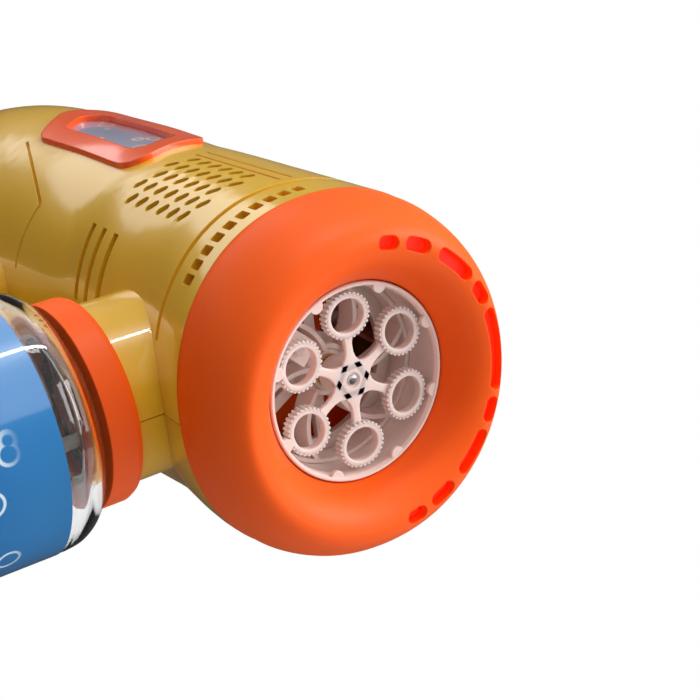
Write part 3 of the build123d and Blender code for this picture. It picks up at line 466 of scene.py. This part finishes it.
def shade(mesh: bpy.types.Mesh, angle: float = 32.0) -> None:
    """Smooth shading that breaks at edges sharper than an angle in degrees."""
    mesh.shade_smooth()
    mesh.set_sharp_from_angle(angle=math.radians(angle))


def arc(centre: tuple[float, float], radius: float, start: float, end: float, steps: int = 6) -> Profile:
    """Points of an arc between two angles in degrees."""
    points = []
    for step in range(steps + 1):
        angle = math.radians(start + (end - start) * step / steps)
        points.append((centre[0] + radius * math.cos(angle), centre[1] + radius * math.sin(angle)))
    return points


def bend(points: Profile, steps: int = 8) -> Profile:
    """Smooth curve through (radius, height) points, as a Catmull-Rom line."""
    padded = [points[0]] + list(points) + [points[-1]]
    line = []
    for index in range(len(points) - 1):
        a, b, c, d = (Vector(p) for p in padded[index:index + 4])
        for step in range(steps):
            t = step / steps
            line.append(tuple(0.5 * ((2 * b) + (c - a) * t + (2 * a - 5 * b + 4 * c - d) * t ** 2
                                     + (3 * b - a - 3 * c + d) * t ** 3)))
    return line + [tuple(points[-1])]


def lathe(outline: Profile, steps: int = 96) -> bmesh.types.BMesh:
    """Closed solid of revolution about local Z.

    Args:
        outline: closed loop of (radius, height) points in mm.
        steps: sides of the result.
    Returns:
        The mesh, with its faces outwards.
    """
    shape = bmesh.new()
    rings = []
    for radius, height in outline:
        if radius < 1e-6:
            rings.append([shape.verts.new((0, 0, height * MM))])
            continue
        rings.append([shape.verts.new((radius * MM * math.cos(math.tau * k / steps),
                                       radius * MM * math.sin(math.tau * k / steps), height * MM))
                      for k in range(steps)])
    for low, high in zip(rings, rings[1:] + rings[:1]):
        for k in range(steps):
            ring = [low[k % len(low)], low[(k + 1) % len(low)], high[(k + 1) % len(high)], high[k % len(high)]]
            unique = list(dict.fromkeys(ring))
            if len(unique) > 2:
                shape.faces.new(unique)
    bmesh.ops.recalc_face_normals(shape, faces=shape.faces)
    return shape


def piece(name: str, shape: bmesh.types.BMesh, place: Matrix, material: bpy.types.Material,
          angle: float = 32.0) -> bpy.types.Object:
    """Object from a mesh, with its place in the mesh.

    Args:
        name: the piece's name.
        shape: the mesh in its own frame.
        place: where the mesh's own frame goes.
        material: its finish.
        angle: edges sharper than this stay sharp, in degrees.
    Returns:
        The object, at the origin.
    """
    shape.transform(place)
    mesh = bpy.data.meshes.new(name)
    shape.to_mesh(mesh)
    shape.free()
    mesh.materials.append(material)
    shade(mesh, angle)
    return linked(name, mesh)


def mount(made: bpy.types.Object, body: str, slot: Slot, *nodes: str) -> None:
    """Gives a piece its body and hides the CAD nodes that it stands for."""
    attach(made, body)
    if nodes:
        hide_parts(*nodes)
    LOG.info("%s: %d faces", made.name, len(made.data.polygons))


def islands(source: bpy.types.Mesh) -> list[tuple[Vector, Vector]]:
    """Lowest and highest corner of each separate solid of a CAD node, in order of Y then Z."""
    shape = bmesh.new()
    shape.from_mesh(source)
    bmesh.ops.remove_doubles(shape, verts=shape.verts, dist=1e-6)
    seen: set = set()
    boxes = []
    for first in shape.verts:
        if first in seen:
            continue
        group, front = [], [first]
        seen.add(first)
        while front:
            vert = front.pop()
            group.append(vert.co.copy())
            for edge in vert.link_edges:
                other = edge.other_vert(vert)
                if other not in seen:
                    seen.add(other)
                    front.append(other)
        boxes.append((Vector(min(c[k] for c in group) for k in range(3)),
                      Vector(max(c[k] for c in group) for k in range(3))))
    shape.free()
    return sorted(boxes, key=lambda pair: (round(pair[0].y, 4), round(pair[0].z, 4)))


# ---- geometry nodes ----------------------------------------------------------------------
class Pattern(Tree):
    """Geometry node tree with named inputs, turned into a plain mesh."""

    def __init__(self, name: str) -> None:
        """Starts a tree with one geometry input."""
        self.name = name
        self.group = bpy.data.node_groups.new(name, "GeometryNodeTree")
        self.group.interface.new_socket("Geometry", in_out="INPUT", socket_type="NodeSocketGeometry")
        self.group.interface.new_socket("Geometry", in_out="OUTPUT", socket_type="NodeSocketGeometry")
        super().__init__(self.group)
        self.source = self.group.nodes.new("NodeGroupInput")
        self.values: dict[str, Any] = {}

    def base(self) -> Sock:
        """The mesh that the tree starts from."""
        return Sock(self, self.source.outputs[0])

    def size(self, name: str, value: Any) -> Sock:
        """Named input of the tree.

        Args:
            name: what the size is.
            value: its value; a whole number makes a whole-number input and three values a vector.
        Returns:
            The input as a Sock.
        """
        kind = {int: "NodeSocketInt", float: "NodeSocketFloat"}.get(type(value), "NodeSocketVector")
        socket = self.group.interface.new_socket(name, in_out="INPUT", socket_type=kind)
        self.values[socket.identifier] = value
        return Sock(self, self.source.outputs[name])

    def join(self, *parts: Sock) -> Sock:
        """Joins geometries."""
        made = self.tree.nodes.new("GeometryNodeJoinGeometry")
        for part in reversed(parts):
            self.tree.links.new(part.socket, made.inputs[0])
        return Sock(self, made.outputs[0])

    def mesh(self, result: Sock, material: bpy.types.Material,
             base: Optional[bpy.types.Mesh] = None) -> bmesh.types.BMesh:
        """Evaluates the tree.

        Args:
            result: the geometry to finish.
            material: what every face gets.
            base: the mesh that the tree starts from.
        Returns:
            The result as a plain mesh.
        """
        real = self.node("GeometryNodeRealizeInstances", {}, {0: result})
        dressed = self.node("GeometryNodeSetMaterial", {}, {"Geometry": real, "Material": material})
        end = self.group.nodes.new("NodeGroupOutput")
        self.tree.links.new(dressed.socket, end.inputs[0])
        holder = linked(self.name + "_holder", base or bpy.data.meshes.new(self.name + "_base"))
        modifier = holder.modifiers.new(self.name, "NODES")
        modifier.node_group = self.group
        for identifier, value in self.values.items():
            modifier[identifier] = value
        bpy.context.view_layer.update()
        evaluated = holder.evaluated_get(bpy.context.evaluated_depsgraph_get())
        plain = bpy.data.meshes.new_from_object(evaluated)
        shape = bmesh.new()
        shape.from_mesh(plain)
        holder.modifiers.remove(modifier)
        bpy.data.objects.remove(holder)
        bpy.data.meshes.remove(plain)
        bpy.data.node_groups.remove(self.group)
        return shape


# ---- shared places -----------------------------------------------------------------------
@dataclass(frozen=True)
class Layout:
    """Places that the sub-assemblies share."""

    mouth: Vector
    bottle: Vector

    @staticmethod
    def read() -> "Layout":
        """Reads the barrel's axis at the tray's mouth and the bottle's axis at its base."""
        low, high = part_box("wand_tray")
        bottle_low, bottle_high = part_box("bottle")
        mouth = Vector(((low.x + high.x) / 2, low.y, (low.z + high.z) / 2))
        middle = (bottle_low + bottle_high) / 2
        return Layout(mouth, Vector((middle.x, middle.y, bottle_low.z)))

    def facing_front(self) -> Matrix:
        """Own frame of a piece on the barrel's axis: local Z points out of the mouth."""
        return Matrix.Translation(self.mouth) @ Matrix.Rotation(math.pi / 2, 4, "X")

    def upright(self) -> Matrix:
        """Own frame of a piece on the bottle's axis, with zero at its base."""
        return Matrix.Translation(self.bottle)


# ---- sub-assemblies ----------------------------------------------------------------------
@dataclass
class WandWheel:
    """Six toothed rings on arms round a hub, in mm from the tray's mouth."""

    rings: int = 6
    ring_circle: float = 14.3
    ring_outer: float = 5.2
    ring_inner: float = 4.0
    oval: float = 0.9
    teeth: int = 30
    tooth_radius: float = 0.4
    tooth_sink: float = 0.03
    ring_edge: float = 0.25
    ring_steps: int = 72
    front: float = -1.3
    back: float = -3.4
    hub_radius: float = 3.9
    hub_back: float = -8.8
    dimple_radius: float = 1.75
    dimple_floor: float = -2.5
    arm_middle: float = -2.65
    arm_half_depth: float = 0.6
    arm_corner: float = 0.3

    def build(self, layout: Layout, material: bpy.types.Material) -> None:
        """Builds the rings and arms by rule and joins the turned hub."""
        pattern = Pattern("wand_rings")
        count = pattern.size("Rings", self.rings)
        circle = pattern.size("Ring circle", self.ring_circle * MM)
        outer = pattern.size("Ring outer radius", self.ring_outer * MM)
        inner = pattern.size("Ring inner radius", self.ring_inner * MM)
        teeth = pattern.size("Teeth", self.teeth)
        tooth = pattern.size("Tooth radius", self.tooth_radius * MM)
        depth = pattern.size("Ring depth", (self.front - self.back) * MM)
        middle = pattern.size("Ring middle", (self.front + self.back) / 2 * MM)
        oval = pattern.size("Radial squeeze", self.oval)
        path = pattern.node("GeometryNodeCurvePrimitiveCircle", {},
                            {"Resolution": self.ring_steps, "Radius": (outer + inner) / 2})
        outline = pattern.node("GeometryNodeCurvePrimitiveQuadrilateral", {},
                               {"Width": outer - inner, "Height": depth})
        outline = pattern.node("GeometryNodeFilletCurve", {"mode": "POLY"},
                               {"Curve": outline, "Radius": self.ring_edge * MM, "Count": 3})
        ring = pattern.node("GeometryNodeCurveToMesh", {}, {"Curve": path, "Profile Curve": outline})
        spots = pattern.node("GeometryNodeMeshCircle", {},
                             {"Vertices": teeth, "Radius": outer - self.tooth_sink * MM})
        rib = pattern.node("GeometryNodeMeshCylinder", {}, {"Vertices": 10, "Side Segments": 1,
                                                            "Radius": tooth, "Depth": depth * 0.98})
        ribs = pattern.node("GeometryNodeInstanceOnPoints", {}, {"Points": spots, "Instance": rib})
        wand = pattern.join(ring, ribs)
        wand = pattern.node("GeometryNodeTransform", {}, {
            "Geometry": wand, "Translation": pattern.vector(circle, 0.0, middle),
            "Scale": pattern.vector(oval, 1.0, 1.0)})
        spokes = pattern.node("GeometryNodeMeshLine", {}, {"Count": count, "Offset": (0.0, 0.0, 0.0)})
        index = pattern.node("GeometryNodeInputIndex")
        turn = pattern.vector(0.0, 0.0, index * math.tau / count)
        wheel = pattern.node("GeometryNodeInstanceOnPoints", {}, {
            "Points": spokes, "Instance": pattern.join(wand, pattern.base()), "Rotation": turn})
        shape = pattern.mesh(wheel, material, self._arm())
        hub = lathe(self._hub_line(), 48)
        scrap = bpy.data.meshes.new("hub")
        hub.to_mesh(scrap)
        hub.free()
        shape.from_mesh(scrap)
        bpy.data.meshes.remove(scrap)
        made = piece("wand_wheel_rings", shape, layout.facing_front(), material)
        mount(made, "wand_wheel", Slot.WHITE, "wand_wheel")

    def _hub_line(self) -> Profile:
        """Half section of the hub, from its back to the pin's dimple."""
        edge = arc((self.hub_radius - 0.8, self.dimple_floor), 0.45, 0, 80, 4)
        return [(0, self.hub_back), (self.hub_radius, self.hub_back), (self.hub_radius, -3.5), *edge,
                (self.dimple_radius, -2.05), (self.dimple_radius - 0.25, self.dimple_floor),
                (0, self.dimple_floor)]

    def _arm(self) -> bpy.types.Mesh:
        """One flared arm with rounded edges, along local X from the hub to its ring."""
        stations = [(2.4, 3.0), (3.6, 2.4), (4.8, 1.4), (6.0, 1.0), (7.6, 0.9), (8.9, 1.0), (9.9, 1.5)]
        middle, half_depth, corner = self.arm_middle, self.arm_half_depth, self.arm_corner
        shape = bmesh.new()
        loops = []
        for x, half_width in stations:
            loop = []
            for sign_y, sign_z, start in ((1, 1, 0), (-1, 1, 90), (-1, -1, 180), (1, -1, 270)):
                centre = (sign_y * (half_width - corner), middle + sign_z * (half_depth - corner))
                for y, z in arc(centre, corner, start, start + 90, 3):
                    loop.append(shape.verts.new((x * MM, y * MM, z * MM)))
            loops.append(loop)
        for near, far in zip(loops, loops[1:]):
            for k in range(len(near)):
                shape.faces.new((near[k], near[(k + 1) % len(near)], far[(k + 1) % len(near)], far[k]))
        shape.faces.new(loops[0])
        shape.faces.new(list(reversed(loops[-1])))
        bmesh.ops.recalc_face_normals(shape, faces=shape.faces)
        mesh = bpy.data.meshes.new("wand_arm")
        shape.to_mesh(mesh)
        shape.free()
        return mesh


@dataclass
class Bottle:
    """Clear screw-in bottle and its printed sleeve, in mm from the base."""

    radius: float = 27.7
    wall: float = 1.1
    neck: float = 15.2
    neck_wall: float = 1.43
    top: float = 71.0
    neck_top: float = 84.0
    label_low: float = 9.0
    label_top: float = 59.4
    thread: float = 0.7
    thread_levels: tuple[float, ...] = (78.0, 80.4)
    steps: int = 160

    def build(self, layout: Layout, clear: bpy.types.Material, film: bpy.types.Material) -> None:
        """Builds the bottle and the sleeve."""
        outside = self._wall_line(0.0, self.neck)
        inside = self._wall_line(self.wall, self.neck - self.neck_wall)
        shape = lathe(outside + list(reversed(inside)), self.steps)
        mount(piece("bottle_blown", shape, layout.upright(), clear, 60), "bottle", Slot.BOTTLE, "bottle")
        outer, inner, rim = self.radius + 0.15, self.radius + 0.01, 0.05
        sleeve = [(outer, self.label_low + rim), (outer, self.label_top - rim), (outer - rim, self.label_top),
                  (inner, self.label_top), (inner, self.label_low), (outer - rim, self.label_low)]
        made = piece("bottle_sleeve", lathe(sleeve, self.steps), layout.upright(), film)
        mount(made, "bottle", Slot.LABEL, "bottle_label")

    def _wall_line(self, inset: float, neck: float) -> Profile:
        """Outer or inner line from the middle of the base up to the mouth."""
        radius, top = self.radius - inset, self.top - inset
        line = [(0.0, 1.6 + inset), (12.0, 1.4 + inset)]
        line += bend([(18.0, 0.9 + inset), (21.0, 0.15 + inset), (24.0, 0.0 + inset),
                      (radius - 1.2, 0.9 + inset), (radius, 3.6 + inset)], 5)
        line += [(radius, 8.0), (radius, self.label_low - 0.5), (radius, 40.0), (radius, self.label_top)]
        line += bend([(radius, top - 9.6), (radius - 0.55, top - 6.2), (radius - 2.6, top - 3.0),
                      (radius - 6.0, top - 1.0), (neck + 2.4, top - 0.1), (neck + 0.6, top + 0.5),
                      (neck, top + 1.8)], 6)
        if inset == 0.0:
            for low in self.thread_levels:
                line += [(neck, low), (neck + self.thread, low + 0.45), (neck + self.thread, low + 0.75),
                         (neck, low + 1.2)]
        return line + [(neck, self.neck_top)]


@dataclass
class TriggerSpring:
    """Coil spring between the trigger and its bracket."""

    turns: float = 3.8
    wire: float = 0.3

    def build(self, material: bpy.types.Material) -> None:
        """Winds the wire by rule inside the CAD spring's box."""
        low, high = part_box("trigger_spring")
        middle = (low + high) / 2
        pattern = Pattern("spring_coil")
        turns = pattern.size("Turns", self.turns)
        wire = pattern.size("Wire radius", self.wire * MM)
        radius = pattern.size("Coil radius", (high.x - low.x) / 2 - self.wire * MM)
        length = pattern.size("Length", high.y - low.y - 2.2 * self.wire * MM)
        coil = pattern.node("GeometryNodeCurveSpiral", {}, {
            "Resolution": 28, "Rotations": turns, "Start Radius": radius, "End Radius": radius,
            "Height": length})
        section = pattern.node("GeometryNodeCurvePrimitiveCircle", {}, {"Resolution": 10, "Radius": wire})
        tube = pattern.node("GeometryNodeCurveToMesh", {},
                            {"Curve": coil, "Profile Curve": section, "Fill Caps": True})
        shape = pattern.mesh(tube, material)
        place = Matrix.Translation((middle.x, low.y + 1.1 * self.wire * MM, middle.z)) @ Matrix.Rotation(
            -math.pi / 2, 4, "X")
        mount(piece("trigger_coil", shape, place, material), "body", Slot.STEEL, "trigger_spring")


@dataclass
class PanScrews:
    """Pan-head screws in every place where the CAD has one, along local Z; sizes in mm."""

    name: str
    node: str
    axis: Vector
    head_radius: float
    head_height: float
    shank_radius: float

    def build(self, body: str, source: bpy.types.Mesh, material: bpy.types.Material) -> None:
        """Copies one turned screw to each place by rule.

        Args:
            body: the body that the screws ride on.
            source: the CAD node's mesh, which gives the places.
            material: the screws' finish.
        """
        boxes = islands(source)
        seats = [self._seat(*pair) for pair in boxes]
        length = self._length(*boxes[0])
        base = bpy.data.meshes.new(self.name + "_seats")
        base.from_pydata(seats, [], [])
        pattern = Pattern(self.name)
        head = pattern.size("Head radius", self.head_radius * MM)
        height = pattern.size("Head height", self.head_height * MM)
        shank = pattern.size("Shank radius", self.shank_radius * MM)
        reach = pattern.size("Length", length)
        cap = pattern.node("GeometryNodeMeshCylinder", {},
                           {"Vertices": 28, "Radius": head, "Depth": height * 0.62})
        dome = pattern.node("GeometryNodeMeshCone", {},
                            {"Vertices": 28, "Radius Top": head * 0.72, "Radius Bottom": head,
                             "Depth": height * 0.38})
        stem = pattern.node("GeometryNodeMeshCylinder", {},
                            {"Vertices": 16, "Radius": shank, "Depth": reach - height})
        levels = ((cap, height * -0.69), (dome, height * -0.38), (stem, (reach + height) * -0.5))
        screw = pattern.join(*[pattern.node("GeometryNodeTransform", {}, {
            "Geometry": part, "Translation": pattern.vector(0.0, 0.0, level)}) for part, level in levels])
        turned = Vector((0, 0, 1)).rotation_difference(self.axis).to_euler()
        copies = pattern.node("GeometryNodeInstanceOnPoints", {}, {
            "Points": pattern.node("GeometryNodeMeshToPoints", {}, {"Mesh": pattern.base()}),
            "Instance": screw, "Rotation": pattern.size("Direction", tuple(turned))})
        shape = pattern.mesh(copies, material, base)
        mount(piece(self.name, shape, Matrix.Identity(4), material), body, Slot.STEEL, self.node)

    def _length(self, low: Vector, high: Vector) -> float:
        """Whole length of a screw along its axis."""
        return abs((high - low).dot(self.axis))

    def _seat(self, low: Vector, high: Vector) -> Vector:
        """Top of a screw's head."""
        middle = (low + high) / 2
        return middle + self.axis * (self._length(low, high) / 2)


# ---- studio ------------------------------------------------------------------------------
@dataclass(frozen=True)
class Sky:
    """How bright each side of the room is, first for lit surfaces and then for reflections."""

    room: float = 0.33
    top: float = 0.75
    left: float = 0.4
    flank: float = 0.1
    mirrored_room: float = 0.05
    mirrored_top: float = 0.15
    mirrored_flank: float = 2.2
    seen_through: float = 0.95

    def world(self) -> bpy.types.World:
        """Builds the world: bright over the right flank, lit top, dim elsewhere, white background."""
        world = bpy.data.worlds.new("studio")
        world.use_nodes = True
        s = Tree(world.node_tree)
        s.tree.nodes.clear()
        x, _, z = s.split(s.node("ShaderNodeTexCoord", {}, {}, "Generated"))
        flank = (x * -1.0).smooth(0.40, 0.46)
        low_flank = flank * (1 - z.smooth(0.36, 0.385))
        lit = (z.smooth(-0.7, 0.9) * self.top + x.smooth(-0.1, 1.0) * self.left + flank * self.flank
               + self.room)
        mirrored = (low_flank * self.mirrored_flank + z.smooth(0.2, 0.9) * self.mirrored_top
                    + self.mirrored_room)
        glossy = s.node("ShaderNodeLightPath", {}, {}, "Is Glossy Ray")
        through = s.node("ShaderNodeLightPath", {}, {}, "Transmission Depth").smooth(0.0, 0.9)
        level = lit + (mirrored - lit) * glossy
        level = level + (self.seen_through - level) * through
        soft = s.node("ShaderNodeBackground", {}, {"Color": (1.0, 1.0, 1.0, 1.0), "Strength": level})
        white = s.node("ShaderNodeBackground", {}, {"Color": (1.0, 1.0, 1.0, 1.0), "Strength": 1.0})
        seen = s.node("ShaderNodeLightPath", {}, {}, "Is Camera Ray")
        both = s.node("ShaderNodeMixShader", {}, {0: seen, 1: soft, 2: white})
        end = s.tree.nodes.new("ShaderNodeOutputWorld")
        s.tree.links.new(both.socket, end.inputs[0])
        return world


@dataclass
class Studio:
    """Pale floor, soft light, and the camera in front of the nose from below and one side."""

    azimuth: float = -24.43
    elevation: float = -30.71
    roll: float = 70.28
    lens: float = 89.08
    shift: tuple[float, float] = (-0.0034, -0.0171)
    camera_from_mouth: tuple[float, float, float] = (-134.8, -274.8, -179.6)

    def build(self, layout: Layout) -> None:
        """Builds everything that isn't part of the toy."""
        bpy.context.scene.view_settings.view_transform = "Standard"
        self._floor()
        bpy.context.scene.world = Sky().world()
        self._softboxes(layout)
        self._camera(layout)

    def _floor(self) -> None:
        """Pale floor that shows from above only."""
        mesh = bpy.data.meshes.new("floor")
        reach = 4.0
        mesh.from_pydata([(-reach, -reach, 0), (reach, -reach, 0), (reach, reach, 0), (-reach, reach, 0)], [],
                         [(0, 1, 2, 3)])
        floor = linked("floor", mesh)
        floor.data.transform(Matrix.Translation((0, 0, -0.0002)))
        s = Surface("floor_paper")
        tone = s.noise(s.place(), 0.6, 2.0)
        s.set({"Base Color": s.mix((0.86, 0.86, 0.85), (0.9, 0.9, 0.89), tone), "Roughness": 0.8})
        back = s.node("ShaderNodeNewGeometry", {}, {}, "Backfacing")
        gone = s.node("ShaderNodeBsdfTransparent")
        both = s.node("ShaderNodeMixShader", {}, {0: back, 1: Sock(s, s.shader.outputs[0]), 2: gone})
        s.tree.links.new(both.socket, s.output.inputs[0])
        mesh.materials.append(s.material)
        floor.visible_glossy = False
        floor.visible_diffuse = False

    def _softboxes(self, layout: Layout) -> None:
        """Main softbox above and in front, and a narrow strip that draws lines on the bottle."""
        self._area("main_softbox", layout.mouth + Vector((-0.25, -0.45, 0.75)), layout.mouth, (0.5, 0.5), 6.0)
        self._area("strip_light", layout.bottle + Vector((-0.85, -0.12, 0.40)),
                   layout.bottle + Vector((0, 0, 0.06)), (0.05, 0.5), 2.5)

    @staticmethod
    def _area(name: str, place: Vector, target: Vector, size: tuple[float, float], power: float) -> None:
        """Adds a rectangular light that looks at a target."""
        data = bpy.data.lights.new(name, "AREA")
        data.shape = "RECTANGLE"
        data.size, data.size_y = size
        data.energy = power
        lamp = bpy.data.objects.new(name, data)
        lamp.location = place
        lamp.rotation_mode = "QUATERNION"
        lamp.rotation_quaternion = (target - place).to_track_quat("-Z", "Y")
        lamp.visible_camera = False
        bpy.context.scene.collection.objects.link(lamp)

    def _camera(self, layout: Layout) -> None:
        """Adds the camera."""
        data = bpy.data.cameras.new("camera")
        data.lens = self.lens
        data.sensor_width = 36.0
        data.shift_x, data.shift_y = self.shift
        data.clip_start = 0.01
        camera = bpy.data.objects.new("camera", data)
        a, e = math.radians(self.azimuth), math.radians(self.elevation)
        back = Vector((math.sin(a) * math.cos(e), -math.cos(a) * math.cos(e), math.sin(e)))
        right = Vector((-back.y, back.x, 0)).normalized()
        up = back.cross(right)
        facing = Matrix((right, up, back)).transposed()
        turn = Matrix.Rotation(math.radians(self.roll), 3, "Z")
        camera.rotation_mode = "QUATERNION"
        camera.rotation_quaternion = (facing @ turn).to_quaternion()
        camera.location = layout.mouth + Vector(self.camera_from_mouth) * MM
        bpy.context.scene.collection.objects.link(camera)
        bpy.context.scene.camera = camera


def dress_nodes(frame: dict[str, Any], looks: dict[Slot, bpy.types.Material]) -> None:
    """Gives every CAD node that stays its finish."""
    for entry in frame["record"]["subparts"]:
        made = frame["nodes"][entry["node"]]
        made.data.materials.clear()
        made.data.materials.append(looks[Slot(entry["material_slot"])])


def main() -> None:
    """Builds the toy and the studio."""
    logging.basicConfig(level=logging.INFO, format="%(message)s")
    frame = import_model()
    layout = Layout.read()
    looks = finishes()
    dress_nodes(frame, looks)
    WandWheel().build(layout, looks[Slot.WHITE])
    Bottle().build(layout, looks[Slot.BOTTLE], looks[Slot.LABEL])
    TriggerSpring().build(looks[Slot.STEEL])
    screws = PanScrews("casing_screws", "shell_screws", Vector((1, 0, 0)), 2.7, 1.6, 1.1)
    screws.build("body", frame["nodes"]["shell_screws"].data, looks[Slot.STEEL])
    Studio().build(layout)


if __name__ == "__main__":
    main()
